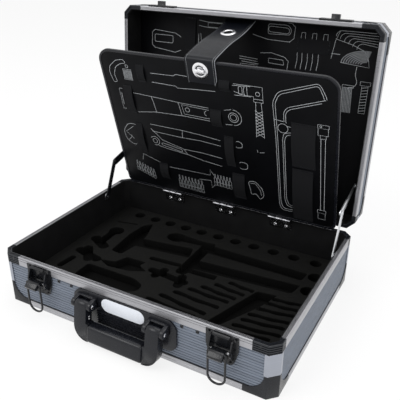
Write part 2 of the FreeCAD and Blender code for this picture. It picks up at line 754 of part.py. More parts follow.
node("case_hinge_base_leaves", [caseLeaf(x, -1) for x in caseHinges])
node("case_hinge_lid_leaves", [caseLeaf(x, 1) for x in caseHinges], lidSwing)
node("board_hinge_base_leaves",
     [crankedLeaf(x, boardHingeY, boardHingeZ, halfY - S.liningInset - S.fitGap, -1) for x in boardHinges])
node("hinge_pins", hingePins(caseHinges, S.hingeLeafWide, S.hingePin, hingeY, hingeZ)
     + hingePins(boardHinges, S.boardLeafWide, S.boardPin, boardHingeY, boardHingeZ))


# Lid stays: two flat arms on each side, between a bracket in the base and one in the lid

def band(side, level):
    # the thickness of one layer of the stay, counted inward from the side lining
    outer = stayInner - S.fitGap - level * (S.stayWall + S.stayGap)
    return (outer - S.stayWall, outer) if side > 0 else (-outer, S.stayWall - outer)


def bar(start, end, wide, span):
    # a flat arm with round ends between two places on the side of the case
    outline = stripOutline(start, end, wide)
    ends = [rod(wide / 2, (span[0], point[0], point[1]), xAxis, span[1] - span[0])
            for point in (start, end)]
    return fused(prism("YZ", outline, *span), *ends)


stayLow = (hingeY - S.stayLowBack, hingeZ - S.stayLowDrop)
elbow = (hingeY - S.elbowBack, hingeZ + S.elbowRise)
stayHigh = (hingeY + S.stayHighOut, hingeZ + S.stayHighRise)
stayBore = S.stayPin + S.pinPlay


def drilled(solid, spot, radius, span):
    return cut(solid, rod(radius, (span[0] - S.overrun, spot[0], spot[1]), xAxis,
                          span[1] - span[0] + 2 * S.overrun))


def stayBracket(side, spot, pinLevels):
    # a round foot on the lining with its pin
    foot = band(side, 0)
    last = band(side, pinLevels)
    boss = rod(S.stayBossRadius, (foot[0], spot[0], spot[1]), xAxis, foot[1] - foot[0])
    inner = last[0] if side > 0 else foot[0]
    outer = foot[1] if side > 0 else last[1]
    pin = rod(S.stayPin, (inner, spot[0], spot[1]), xAxis, outer - inner)
    pieces = [boss, pin]
    if pinLevels > 1:
        above = band(side, pinLevels)
        inner = above[1] + S.runGap / 2 if side > 0 else foot[0]
        outer = foot[1] if side > 0 else above[0] - S.runGap / 2
        pieces.append(rod(S.stayPinHead, (inner, spot[0], spot[1]), xAxis, outer - inner))
    return fused(*pieces)


for name, side in (("left", -1), ("right", 1)):
    lowSpan = band(side, 1)
    highSpan = band(side, 2)
    lower = drilled(bar(stayLow, elbow, S.stayWide, lowSpan), stayLow, stayBore, lowSpan)
    node("stay_lower_arm_" + name, [lower])
    reachShare = S.elbowPlate / math.hypot((stayHigh[0] - elbow[0]).number, (stayHigh[1] - elbow[1]).number)
    plateEnd = (elbow[0] + (stayHigh[0] - elbow[0]) * reachShare.number,
                elbow[1] + (stayHigh[1] - elbow[1]) * reachShare.number)
    upper = fused(bar(elbow, stayHigh, S.stayWide, highSpan),
                  bar(elbow, plateEnd, S.elbowPlateWide, highSpan))
    start = highSpan[0] - S.stayWall / 2 if side > 0 else highSpan[1]
    rivet = rod(S.stayRivet, (start, elbow[0], elbow[1]), xAxis, S.stayWall / 2)
    node("stay_upper_arm_" + name, [drilled(fused(upper, rivet), stayHigh, stayBore, highSpan)])
node("stay_base_brackets", [stayBracket(side, stayLow, 1) for side in (-1, 1)])
node("stay_lid_brackets", [stayBracket(side, stayHigh, 2) for side in (-1, 1)])


# Tool board, modelled upright in its own frame with its hinge pin as the X axis

boardLow = S.boardFoot
boardHigh = boardHingeY + halfY - S.liningInset - S.boardEndGap
boardTall = boardHigh - boardLow
boardHalf = stayInner - S.boardSideGap


def boardOutline(inset, nearer, farther):
    half = boardHalf - inset
    low = boardLow + inset
    high = boardHigh - inset
    outline = [(-half, low), (half, low), (half, high), (-half, high)]
    topRound = S.boardTopRound - inset
    return prism("XZ", outline, nearer, farther, ((topRound, (2, 3)), (topRound / 2, (0, 1))))


slotInset = S.bindingWide / 5
node("board_panel", [boardOutline(slotInset + S.fitGap, boardFront, boardBackY)], boardStanding)
binding = cut(boardOutline(zero, boardFront - S.bindingProud, boardBackY),
              boardOutline(S.bindingWide, boardFront - S.overrun, boardBackY + S.overrun))
binding = cut(binding, boardOutline(slotInset, boardFront - S.fitGap, boardBackY + S.overrun))
node("board_edge_binding", [binding], boardStanding)

# elastic tapes on the board: middle as shares of its half width and height, then width and height
# as shares of the usual tape width
tapeShares = [(-0.607, 0.87, 1, 2.1), (-0.773, 0.68, 1.1, 3.6), (0.032, 0.65, 1.3, 2.1),
              (-0.739, 0.4, 0.8, 4.2), (-0.563, 0.165, 1.2, 2.3), (0.12, 0.43, 1.1, 4),
              (0.174, 0.177, 1.5, 3.6), (0.134, 0.868, 1.2, 1.3), (0.72, 0.56, 2.7, 5.4)]
tapes = []
for shareX, shareZ, wideShare, tallShare in tapeShares:
    x = boardHalf * shareX
    z = boardLow + boardTall * shareZ
    wide = S.loopWide * wideShare / 2
    tall = S.loopWide * tallShare / 2
    tapes.append(box((x - wide, boardFront - S.fitGap - S.loopThick, z - tall),
                     (x + wide, boardFront - S.fitGap, z + tall)))
node("board_loops", tapes, boardStanding)
node("board_hinge_leaves",
     [crankedLeaf(x, zero, zero, boardBackY + S.fitGap + S.boardLeafWall, 1) for x in boardHinges],
     boardStanding)


# Strap from the lid's front wall over the board's top edge and down its face

strapFace = boardFront - S.bindingProud - S.fitGap * 3
strapCentre = strapFace - S.strapWall / 2
hangShares = [(0.22, 0.29), (0.61, 0.54), (0.83, 0.73)]
eyeletShare = 0.3


def strapRoute():
    # centre line of the strap from the lid to its tail, as (y, z) numbers
    wall = lidSwing.multVec(vector(0, front + S.liningInset + S.leafWall + S.runGap + S.strapWall,
                                   lidRim + S.strapLidReach))
    top = boardStanding.multVec(vector(0, (boardFront + boardBackY) / 2,
                                       boardHigh + S.strapLift + S.strapWall * 0.7))
    turn = boardStanding.multVec(vector(0, strapCentre, boardHigh + S.strapLift))
    tail = boardStanding.multVec(vector(0, strapCentre, S.strapTail))
    route = [wall]
    for shareY, shareZ in hangShares:
        route.append(FreeCAD.Vector(0, wall.y + (top.y - wall.y) * shareY,
                                    wall.z + (top.z - wall.z) * shareZ))
    return route + [top, turn, tail]


def strapSolid():
    route = strapRoute()
    half = S.strapWall.number / 2
    sides = ([], [])
    for index, spot in enumerate(route):
        before = route[max(index - 1, 0)]
        after = route[min(index + 1, len(route) - 1)]
        along = (after - before).normalize()
        across = FreeCAD.Vector(0, -along.z, along.y) * half
        sides[0].append(spot + across)
        sides[1].append(spot - across)
    outline = sides[0] + sides[1][::-1]
    face = Part.Face(Part.makePolygon(outline + outline[:1]))
    solid = face.extrude(FreeCAD.Vector(S.strapWide.number, 0, 0))
    solid.translate(FreeCAD.Vector((S.strapX - S.strapWide / 2).number, 0, 0))
    made = doc.addObject("Part::Feature", "StrapSolid")
    made.Shape = solid
    return made


def eyelet():
    # a rolled ring on the upper face of the strap's free stretch
    route = strapRoute()
    along = (route[2] - route[1]).normalize()
    normal = FreeCAD.Vector(0, along.z, -along.y)
    if normal.z < 0:
        normal = normal * -1
    foot = route[1] + (route[2] - route[1]) * eyeletShare + normal * (S.strapWall / 2 + S.fitGap).number
    foot.x = S.strapX.number
    made = doc.addObject("Part::Feature", "EyeletRing")
    disc = Part.makeCylinder(S.eyeletRadius.number, S.studFlange.number, foot, normal)
    bore = Part.makeCylinder(S.eyeletBore.number, S.overrun.number, foot - normal * (S.overrun / 2).number,
                             normal)
    made.Shape = disc.cut(bore)
    return made


studFace = strapFace - S.strapWall - S.fitGap
studZ = boardHigh - S.studDrop
anchorFace = front + S.liningInset + S.fitGap
node("strap", [strapSolid()])
node("strap_eyelet", [eyelet()])
node("strap_anchor",
     [box((S.strapX - S.strapWide / 2, anchorFace, lidRim + S.anchorLow),
          (S.strapX + S.strapWide / 2, anchorFace + S.leafWall, lidRim + S.anchorHigh))], lidSwing)
node("turn_stud_base", [rod(S.studRadius, (S.strapX, studFace, studZ), outward, S.studFlange)], boardStanding)
knobY = studFace - S.studFlange - S.fitGap
knob = fused(box((S.strapX - S.knobHalf, knobY - S.studKnob, studZ - S.knobTall / 2),
                 (S.strapX + S.knobHalf, knobY, studZ + S.knobTall / 2)),
             rod(S.knobHub, (S.strapX, knobY, studZ), outward, S.studKnob))
node("turn_stud", [knob], boardStanding)


# Check and write

doc.recompute()
for item in doc.Objects:
    if "Invalid" in item.State or "Error" in item.State:
        raise RuntimeError("failed object: " + item.Name)
os.makedirs("parts", exist_ok=True)
for made in placedNodes:
    shape = made.Shape
    if shape.isNull() or not shape.isValid() or not shape.Solids:
        raise RuntimeError("bad shape: " + made.Label)
    print(made.Label, len(shape.Solids), round(shape.Volume))
    shape.exportStep("parts/%s.step" % made.Label)
print(len(placedNodes), "nodes")
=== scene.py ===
import bmesh
import bpy
import json
from math import atan2, cos, pi, radians, sin
from mathutils import Matrix, Vector

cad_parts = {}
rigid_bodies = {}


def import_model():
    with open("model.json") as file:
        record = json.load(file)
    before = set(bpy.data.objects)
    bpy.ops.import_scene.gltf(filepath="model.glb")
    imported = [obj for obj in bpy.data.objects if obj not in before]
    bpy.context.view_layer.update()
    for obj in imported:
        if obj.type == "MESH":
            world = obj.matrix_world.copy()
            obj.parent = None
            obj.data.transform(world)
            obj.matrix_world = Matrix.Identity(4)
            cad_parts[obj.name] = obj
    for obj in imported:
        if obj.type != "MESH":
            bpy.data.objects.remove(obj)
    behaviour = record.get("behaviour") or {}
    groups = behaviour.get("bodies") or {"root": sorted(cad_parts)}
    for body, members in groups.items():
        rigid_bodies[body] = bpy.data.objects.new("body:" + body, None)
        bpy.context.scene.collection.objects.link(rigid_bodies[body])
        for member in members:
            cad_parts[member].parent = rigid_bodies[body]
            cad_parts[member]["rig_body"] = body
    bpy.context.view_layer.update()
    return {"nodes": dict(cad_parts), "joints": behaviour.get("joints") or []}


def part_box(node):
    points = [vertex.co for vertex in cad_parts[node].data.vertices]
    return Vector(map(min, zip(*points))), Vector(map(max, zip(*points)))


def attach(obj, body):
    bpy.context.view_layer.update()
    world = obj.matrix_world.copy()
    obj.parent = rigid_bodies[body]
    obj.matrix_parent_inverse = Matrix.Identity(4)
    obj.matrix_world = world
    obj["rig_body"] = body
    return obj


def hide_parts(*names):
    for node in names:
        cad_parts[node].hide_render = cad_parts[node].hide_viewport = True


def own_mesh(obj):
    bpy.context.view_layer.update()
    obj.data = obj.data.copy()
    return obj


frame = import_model()
mm = 0.001
nodes = frame["nodes"]
joints = {joint["name"]: joint for joint in frame["joints"]}


# Shader tools

class Value:
    # a shader socket that can be added to, multiplied and so on
    def __init__(self, finish, socket):
        self.finish = finish
        self.socket = socket

    def join(self, operation, first, second):
        return self.finish.node("ShaderNodeMath", {"operation": operation}, {0: first, 1: second})

    def __add__(self, other):
        return self.join("ADD", self, other)

    def __sub__(self, other):
        return self.join("SUBTRACT", self, other)

    def __mul__(self, other):
        return self.join("MULTIPLY", self, other)


class Finish:
    # a material with one Principled shader
    def __init__(self, name, color, roughness, metallic=0.0, coat=0.0, specular=0.5):
        self.material = bpy.data.materials.new(name)
        self.material.use_nodes = True
        self.tree = self.material.node_tree
        self.shader = self.tree.nodes["Principled BSDF"]
        for socket, value in (("Base Color", (*color, 1)), ("Roughness", roughness), ("Metallic", metallic),
                              ("Coat Weight", coat), ("Specular IOR Level", specular)):
            self.shader.inputs[socket].default_value = value
        self.color = color
        self.roughness = roughness

    def node(self, kind, settings, inputs, output=0):
        made = self.tree.nodes.new(kind)
        for name, value in settings.items():
            if name == "stops":
                for index, (place, shade) in enumerate(value):
                    if index > 1:
                        made.color_ramp.elements.new(place)
                    made.color_ramp.elements[index].position = place
                    made.color_ramp.elements[index].color = (*shade, 1)
            else:
                setattr(made, name, value)
        for name, value in inputs.items():
            if isinstance(value, Value):
                self.tree.links.new(value.socket, made.inputs[name])
            else:
                made.inputs[name].default_value = value
        return Value(self, made.outputs[output])

    def feed(self, name, value):
        self.tree.links.new(value.socket, self.shader.inputs[name])

    def spot(self, stretch=(1, 1, 1)):
        place = self.node("ShaderNodeTexCoord", {}, {}, "Object")
        return self.node("ShaderNodeMapping", {}, {"Vector": place, "Scale": stretch})

    def noise(self, scale, detail=3.0, stretch=(1, 1, 1)):
        return self.node("ShaderNodeTexNoise", {}, {
            "Vector": self.spot(stretch), "Scale": scale, "Detail": detail})

    def cells(self, scale, stretch=(1, 1, 1)):
        return self.node("ShaderNodeTexVoronoi", {}, {"Vector": self.spot(stretch), "Scale": scale})

    def tint(self, factor, amount):
        # lighter and darker patches of the base colour
        low = tuple(part * (1 - amount) for part in self.color)
        high = tuple(min(part * (1 + amount), 1) for part in self.color)
        shade = self.node("ShaderNodeValToRGB", {"stops": [(0.3, low), (0.7, high)]}, {"Fac": factor})
        self.feed("Base Color", shade)

    def gloss(self, factor, spread):
        self.feed("Roughness", (factor - 0.5) * spread + self.roughness)

    def relief(self, height, distance, strength=1.0):
        bump = self.node("ShaderNodeBump", {}, {
            "Height": height, "Distance": distance, "Strength": strength}, "Normal")
        self.feed("Normal", bump)


def panelFinish():
    made = Finish("ribbed board", (0.165, 0.19, 0.235), 0.42, metallic=0.25)
    streaks = made.noise(90, 4, (0.08, 0.6, 3))
    made.tint(streaks, 0.14)
    made.gloss(streaks, 0.25)
    made.relief(made.noise(900, 2), 0.00012, 0.4)
    return made


def alloyFinish(name, color, roughness):
    made = Finish(name, color, roughness, metallic=0.9)
    lines = made.noise(260, 4, (0.05, 0.05, 4))
    made.tint(lines, 0.08)
    made.gloss(lines + made.noise(14, 2) * 0.5 - 0.25, 0.3)
    made.relief(lines, 0.00006, 0.5)
    return made


def plasticFinish(name, color, roughness, grain):
    made = Finish(name, color, roughness, specular=0.32)
    pebbles = made.cells(1500)
    made.tint(made.noise(60, 3), 0.12)
    made.gloss(made.noise(120, 3), 0.22)
    made.relief(pebbles, grain, 0.5)
    return made


def liningFinish():
    made = Finish("lining cloth", (0.005, 0.005, 0.0053), 0.9, specular=0.14)
    made.tint(made.noise(40, 4), 0.3)
    made.relief(made.noise(2200, 2), 0.0002, 0.7)
    return made


def foamFinish():
    # lighter on the top face than down in the recesses: painted shade on the recess walls and on the backing
    # sheet under them
    made = Finish("cut foam", (0.009, 0.009, 0.0085), 0.95, specular=0.12)
    height = made.node("ShaderNodeSeparateXYZ", {}, {"Vector": made.spot()}, "Z")
    grain = made.noise(500, 4) - 0.5
    # painted shade: the low stops darken the recess walls and floors, the last stop is the top face
    stops = [(0.0, (0.001, 0.001, 0.0009)), (0.84, (0.0016, 0.0016, 0.0015)), (1.0, (0.0088, 0.0088, 0.0084))]
    shade = made.node("ShaderNodeValToRGB", {"stops": stops}, {"Fac": (height - 0.012) * 62 + grain * 0.22})
    made.feed("Base Color", shade)
    made.relief(made.cells(1400) + made.noise(600, 4), 0.0003, 0.8)
    return made


def boardFinish():
    made = Finish("printed board", (0.0024, 0.0026, 0.0034), 0.5, specular=0.1)
    made.tint(made.noise(30, 3), 0.2)
    made.gloss(made.noise(80, 4), 0.2)
    made.relief(made.cells(900), 0.00008, 0.6)
    return made


def inkFinish(name, color):
    made = Finish(name, color, 0.6)
    made.tint(made.noise(400, 3), 0.18)
    return made


def elasticFinish():
    made = Finish("woven elastic", (0.0062, 0.0065, 0.0078), 0.85, specular=0.2)
    ribs = made.node("ShaderNodeTexWave", {"bands_direction": "X"}, {
        "Vector": made.spot(), "Scale": 330, "Distortion": 0.4})
    made.tint(ribs, 0.25)
    made.relief(ribs + made.noise(1500, 2) * 0.4, 0.00025, 0.7)
    return made


def strapFinish():
    made = Finish("strap skin", (0.0042, 0.005, 0.0078), 0.36, coat=0.02, specular=0.2)
    creases = made.cells(650, (1, 1, 0.8))
    made.tint(made.noise(50, 4), 0.18)
    made.gloss(made.noise(150, 3), 0.2)
    made.relief(creases, 0.00022, 0.6)
    return made


def platedFinish(name, color, roughness):
    made = Finish(name, color, roughness, metallic=1.0)
    made.gloss(made.noise(220, 4), 0.16)
    made.tint(made.noise(40, 2), 0.06)
    return made


def coatedFinish():
    made = Finish("coated steel", (0.006, 0.0066, 0.0085), 0.27, coat=0.08, specular=0.35)
    made.tint(made.noise(80, 3), 0.25)
    made.gloss(made.noise(160, 4), 0.25)
    made.relief(made.noise(1200, 2), 0.00004, 0.5)
    return made


def labelFinish():
    made = Finish("bare label", (0.76, 0.79, 0.85), 0.4)
    made.tint(made.noise(900, 2), 0.05)
    made.gloss(made.noise(300, 3), 0.2)
    return made


finishes = {
    "panel": panelFinish(),
    "alloy": alloyFinish("satin rail", (0.42, 0.42, 0.44), 0.36),
    "post": alloyFinish("satin corner post", (0.36, 0.38, 0.43), 0.36),
    "black_plastic": plasticFinish("moulded plastic", (0.0078, 0.0085, 0.0118), 0.27, 0.00004),
    "grip": plasticFinish("grained grip", (0.0072, 0.008, 0.0112), 0.27, 0.00008),
    "lining": liningFinish(),
    "foam": foamFinish(),
    "printed_panel": boardFinish(),
    "ink": inkFinish("pale ink", (0.5, 0.52, 0.54)),
    "inkFill": inkFinish("grey ink", (0.2, 0.21, 0.22)),
    # a pale grey for one edge of the strap: a painted highlight
    "edgeHighlight": inkFinish("painted edge highlight", (0.24, 0.25, 0.27)),
    "elastic": elasticFinish(),
    "strap_skin": strapFinish(),
    # the rim corners are the same black plastic, made lighter here as painted sheen on their ridges
    "bend": plasticFinish("ridged rim corner", (0.016, 0.018, 0.0225), 0.26, 0.00003),
    "smoked": platedFinish("smoked plating", (0.34, 0.34, 0.36), 0.26),
    "chrome": platedFinish("bright plating", (0.86, 0.86, 0.88), 0.24),
    "zinc": platedFinish("zinc plating", (0.6, 0.61, 0.63), 0.32),
    "dark_metal": coatedFinish(),
    "label": labelFinish(),
}
print("finishes ready")


# Mesh tools


def linked(name, data):
    made = bpy.data.objects.new(name, data)
    bpy.context.scene.collection.objects.link(made)
    return made


def piece(name, mesh, finish, body, replaced=(), angle=32, matrix=None):
    if matrix is not None:
        bmesh.ops.transform(mesh, matrix=matrix, verts=mesh.verts)
    data = bpy.data.meshes.new(name)
    bmesh.ops.recalc_face_normals(mesh, faces=mesh.faces)
    mesh.to_mesh(data)
    mesh.free()
    return dressed(name, data, finish, body, replaced, angle)


def dressed(name, data, finish, body, replaced=(), angle=32):
    data.materials.clear()
    data.materials.append(finishes[finish].material)
    data.polygons.foreach_set("use_smooth", [True] * len(data.polygons))
    data.set_sharp_from_angle(angle=radians(angle))
    made = linked(name, data)
    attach(made, body)
    if replaced:
        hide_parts(*replaced)
    return made


def softEdges(mesh, width, angle, segments, above=-1):
    # round the edges that are sharper than an angle and lie above a height in metres
    sharp = [edge for edge in mesh.edges if edge.is_manifold and edge.calc_face_angle(0) > radians(angle)
             and all(vert.co.z > above for vert in edge.verts)]
    bmesh.ops.bevel(mesh, geom=sharp, offset=width * mm, offset_type="OFFSET", affect="EDGES",
                    segments=segments, profile=0.5, material=-1, clamp_overlap=True)


def softened(node, finish, width, segments=2):
    # a copy of a plain solid with its edges rounded
    mesh = bmesh.new()
    mesh.from_mesh(nodes[node].data)
    bmesh.ops.remove_doubles(mesh, verts=mesh.verts, dist=0.002 * mm)
    bmesh.ops.dissolve_limit(mesh, angle_limit=radians(1), verts=mesh.verts, edges=mesh.edges)
    softEdges(mesh, width, 25, segments)
    piece(node + "_form", mesh, finish, nodes[node]["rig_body"], (node,), angle=40)


def pulledOut(mesh, faces, run):
    # faces moved along a run, with walls behind them
    pulled = bmesh.ops.extrude_face_region(mesh, geom=faces)["geom"]
    moved = [item for item in pulled if isinstance(item, bmesh.types.BMVert)]
    bmesh.ops.translate(mesh, verts=moved, vec=run)


def extruded(mesh, corners, run):
    # a closed outline pulled along a run
    face = mesh.faces.new([mesh.verts.new(corner) for corner in corners])
    pulledOut(mesh, [face], run)


def alongX(mesh, x, shape, wide):
    # a (y, z) outline pulled along X
    extruded(mesh, [Vector((x, y, z)) * mm for y, z in shape], Vector((wide * mm, 0, 0)))


def alongY(mesh, y, shape, deep):
    # an (x, z) outline pulled along Y
    extruded(mesh, [Vector((x, y, z)) * mm for x, z in shape], Vector((0, deep * mm, 0)))


def skinned(mesh, rings):
    # walls from ring to ring, closed at both ends
    for first, last in zip(rings, rings[1:]):
        for index, vert in enumerate(first):
            following = (index + 1) % len(first)
            mesh.faces.new((vert, first[following], last[following], last[index]))
    mesh.faces.new(rings[0])
    mesh.faces.new(rings[-1])


def joinMesh(target, source):
    data = bpy.data.meshes.new("part")
    source.to_mesh(data)
    source.free()
    target.from_mesh(data)
    bpy.data.meshes.remove(data)


def octagon(x, y, cut):
    # a rectangle about the origin with cut corners
    return [(cut - x, -y), (x - cut, -y), (x, cut - y), (x, y - cut), (x - cut, y), (cut - x, y),
            (-x, y - cut), (-x, cut - y)]


def turned(mesh, profile, centre, axis, steps=24):
    # a profile of (radius, height) pairs spun round an axis
    axis = Vector(axis).normalized()
    side = axis.orthogonal().normalized()
    centre = Vector(centre)
    chain = [mesh.verts.new(centre + side * radius + axis * height) for radius, height in profile]
    edges = [mesh.edges.new(pair) for pair in zip(chain, chain[1:])]
    bmesh.ops.spin(mesh, geom=chain + edges, cent=centre, axis=axis, angle=2 * pi, steps=steps,
                   use_merge=True)
    bmesh.ops.remove_doubles(mesh, verts=mesh.verts, dist=0.001 * mm)


def buttonHead(mesh, centre, axis, radius, tall, slotted=False):
    # a domed rivet or screw head
    profile = [(0.0001 * mm, tall), (radius * 0.55, tall * 0.96), (radius * 0.85, tall * 0.7),
               (radius, tall * 0.25), (radius, 0)]
    if slotted:
        profile = [(0.0001 * mm, tall * 0.45), (radius * 0.3, tall * 0.45), (radius * 0.38, tall),
                   (radius * 0.8, tall * 0.8), (radius, tall * 0.25), (radius, 0)]
    turned(mesh, profile, centre, axis, 20)


def spun(mesh, profile, centre, axis, steps):
    # the same for a profile in mm
    turned(mesh, [(radius * mm, height * mm) for radius, height in profile], centre, axis, steps)


# Moving frames: the lid is made shut and swung open, the board and the loop hang in their own frames

case = dict(wide=460, deep=324, base=86.6, lid=49, corner=12.5, skin=1.2, wall=4, gap=0.1, lip=12,
            lipWall=1.5, rim=6.5, rimTall=15, rimSeat=9, edge=10, rimGap=0.4, rimCornerX=35,
            rimCornerY=24, cap=46, core=14, ribPitch=4.4, ribDepth=0.8)
halfX = case["wide"] / 2
halfY = case["deep"] / 2
lidHinge = Vector(joints["lid_hinge"]["pos_m"])
lidAngle = joints["lid_hinge"]["range_deg"][1]
boardHinge = Vector(joints["board_hinge"]["pos_m"])
handleHinge = Vector(joints["handle_hinge"]["pos_m"])
boardLean = 15.2
handleLean = -9

lidSwing = (Matrix.Translation(lidHinge) @ Matrix.Rotation(radians(-lidAngle), 4, "X")
            @ Matrix.Translation(-lidHinge))
lidShut = (Matrix.Translation((0, 0, (case["base"] + case["rimGap"] + case["lid"]) * mm))
           @ Matrix.Rotation(pi, 4, "X"))
lidOpen = lidSwing @ lidShut
# the board's drawing starts behind and under its pin
boardStand = (Matrix.Translation(boardHinge) @ Matrix.Rotation(radians(boardLean), 4, "X")
              @ Matrix.Translation(Vector((0, 7.6, -1.5)) * mm))
handleHang = Matrix.Translation(handleHinge) @ Matrix.Rotation(radians(handleLean), 4, "X")


# Walls and rails of the two shells

def wallPlace(side, along, depth, tall):
    # a place on a wall: along it, inward from the outer face, and up from the large face
    if side in ("front", "back"):
        y = -halfY + depth if side == "front" else halfY - depth
        return Vector((along * mm, y * mm, tall * mm))
    x = -halfX + depth if side == "left" else halfX - depth
    return Vector((x * mm, along * mm, tall * mm))


def rail(mesh, side, section, start, end):
    run = wallPlace(side, end, 0, 0) - wallPlace(side, start, 0, 0)
    extruded(mesh, [wallPlace(side, start, depth, tall) for depth, tall in section], run)


def ribbedSection(low, high, outer, inner):
    # an outer face of flat ribs with narrow grooves between them, and a flat back
    count = int((high - low) / case["ribPitch"])
    step = (high - low) / count
    depth = outer + case["ribDepth"]
    section = []
    for index in range(count):
        base = low + index * step
        for inward, share in ((depth, 0), (depth, 0.24), (outer + 0.15, 0.34), (outer, 0.46), (outer, 0.86),
                              (outer + 0.15, 0.97)):
            section.append((inward, base + step * share))
    return section + [(depth, high), (inner, high), (inner, low)]


def groovedSection(low, high, grooves, seat):
    # the rim rail: grooves on its outer face, eased top edges and a slot for the panel
    section = [(0.2, low)]
    for place, wide, depth in grooves:
        section += [(0, low + place - wide), (depth, low + place - wide * 0.5),
                    (depth, low + place + wide * 0.5), (0, low + place + wide)]
    inner = case["skin"] + case["gap"] + case["wall"] + case["gap"]
    section += [(0, high - 0.6), (0.25, high - 0.15), (0.7, high)]
    for depth in (1.9, 3.35, 4.8):
        section += [(depth - 0.55, high), (depth - 0.5, high - 1.8), (depth + 0.4, high - 1.8),
                    (depth + 0.45, high)]
    section += [(case["rim"] - 0.7, high), (case["rim"] - 0.15, high - 0.25), (case["rim"], high - 0.8),
                (case["rim"], low), (inner, low), (inner, seat), (case["skin"], seat), (case["skin"], low)]
    return section


def rimCorner(mesh, section, signX, signY):
    # the rail's section carried round the cut corner
    rings = []
    for turn in range(4):
        ring = []
        for depth, tall in section:
            cut = case["corner"] - depth * (2 - 2 ** 0.5)
            x = halfX - (case["rimCornerX"] if turn == 0 else depth + (cut if turn == 1 else 0))
            y = halfY - (case["rimCornerY"] if turn == 3 else depth + (cut if turn == 2 else 0))
            ring.append(mesh.verts.new(Vector((signX * x, signY * y, tall)) * mm))
        rings.append(ring)
    skinned(mesh, rings)


def rails(mesh, section, reachX, reachY):
    # the same section along all four walls
    for side, reach in (("front", reachX), ("back", reachX), ("left", reachY), ("right", reachY)):
        rail(mesh, side, section, -reach, reach)


shellSizes = dict(plate=5, plateCut=6, railGrooves=((8.8, 0.35, 0.7), (12.4, 0.45, 0.9)),
                  bendGrooves=((2.2, 0.8, 1.3), (5.4, 0.8, 1.3), (8.6, 0.8, 1.3), (11.8, 0.8, 1.3)),
                  seam=1.45, rivetInset=5, rivetX=24, rivetY=19, lowRivetShift=12, rivet=2.1, rivetTall=0.5)


def dressShell(prefix, height, walls, flat, body, matrix):
    size = shellSizes
    sides = dict(zip(("front", "back"), walls))
    seat = height - case["rimSeat"]
    rimLow = height - case["rimTall"]
    outer = case["skin"] + case["gap"]
    low = case["lipWall"] + case["gap"]
    endX = halfX - case["core"] - case["gap"]
    endY = halfY - case["core"] - case["gap"]
    section = ribbedSection(low, seat - case["gap"], outer, outer + case["wall"])
    for side, end in (("front", endX), ("back", endX), ("left", endY), ("right", endY)):
        mesh = bmesh.new()
        rail(mesh, side, section, -end, end)
        node = "%s_%s_panel" % (prefix, sides.get(side, side))
        piece(node + "_ribbed", mesh, "panel", body, (node,), angle=50, matrix=matrix)
    bottom = bmesh.new()
    lip = case["lip"] + case["gap"]
    plan = octagon(halfX - lip, halfY - lip, size["plateCut"])
    extruded(bottom, [Vector((x, y, 0)) * mm for x, y in plan], Vector((0, 0, (low + size["plate"]) * mm)))
    node = "%s_%s_panel" % (prefix, flat)
    piece(node + "_plate", bottom, "panel", body, (node,), matrix=matrix)

    rim = bmesh.new()
    section = groovedSection(rimLow, height, size["railGrooves"], seat)
    rails(rim, section, halfX - case["rimCornerX"], halfY - case["rimCornerY"])
    piece(prefix + "_rim_rails", rim, "alloy", body, (prefix + "_rim_profiles",), matrix=matrix)
    bends = bmesh.new()
    section = groovedSection(rimLow, height, size["bendGrooves"], seat)
    for signX in (-1, 1):
        for signY in (-1, 1):
            rimCorner(bends, section, signX, signY)
    piece(prefix + "_rim_bends", bends, "bend", body, (prefix + "_rim_corners",), matrix=matrix)

    edge = bmesh.new()
    angle = [(0, 0.5), (0.15, 0.15), (0.5, 0), (case["lip"], 0), (case["lip"], case["lipWall"]),
             (case["skin"], case["lipWall"]), (case["skin"], case["edge"]), (0.2, case["edge"]),
             (0, case["edge"] - 0.3), (0, 6.2), (0.25, 5.9), (0.25, 5.4), (0, 5.1)]
    capped = case["cap"] + case["gap"]
    rails(edge, angle, halfX - capped, halfY - capped)
    piece(prefix + "_edge_angles", edge, "alloy", body, (prefix + "_edge_profiles",), matrix=matrix)

    # a dark strip in the seam just above the edge angle: painted shadow of the panel's lower edge
    seam = bmesh.new()
    foot = case["edge"] + 0.05
    strip = [(0.55, foot), (0.55, foot + size["seam"]), (1.25, foot + size["seam"]), (1.25, foot)]
    rails(seam, strip, endX, endY)
    piece(prefix + "_seam_gasket", seam, "black_plastic", body, matrix=matrix)

    softened(prefix + "_corner_profiles", "post", 0.25)
    softened(prefix + "_corner_caps", "black_plastic", 1.1, 4)
    softened(prefix + "_lining", "lining", 0.4)
    rivets = bmesh.new()
    for sideX in (-1, 1):
        for sideY in (-1, 1):
            for tall, shift in ((5.2, size["lowRivetShift"]), (height - size["rivetInset"], 0)):
                alongFront = sideX * (halfX - size["rivetX"] - shift)
                alongEnd = sideY * (halfY - size["rivetY"] - shift)
                for side, spot in (("front" if sideY < 0 else "back", alongFront),
                                   ("left" if sideX < 0 else "right", alongEnd)):
                    out = wallPlace(side, spot, 0, tall) - wallPlace(side, spot, 1, tall)
                    foot = wallPlace(side, spot, 0.5, tall)
                    buttonHead(rivets, foot, out, size["rivet"] * mm, size["rivetTall"] * mm)
    piece(prefix + "_corner_rivets", rivets, "dark_metal", body, matrix=matrix)


dressShell("base", case["base"], ("front", "back"), "bottom", "base", Matrix())
dressShell("lid", case["lid"], ("back", "front"), "top", "lid", lidOpen)
print("shells ready")


# Foam insert: one die-cut sheet, its recesses cut together, over a plain backing sheet

foamSizes = dict(top=28, floor=12, inset=8.3, soft=0.8, bend=5)


def along(start, end, wide, ends=6):
    # a straight slot with round ends
    run = Vector((end[0] - start[0], end[1] - start[1]))
    turn = atan2(run.y, run.x)
    loop = []
    for centre, offset in ((end, turn - pi / 2), (start, turn + pi / 2)):
        for index in range(ends + 1):
            angle = offset + pi * index / ends
            loop.append((centre[0] + cos(angle) * wide / 2, centre[1] + sin(angle) * wide / 2))
    return loop


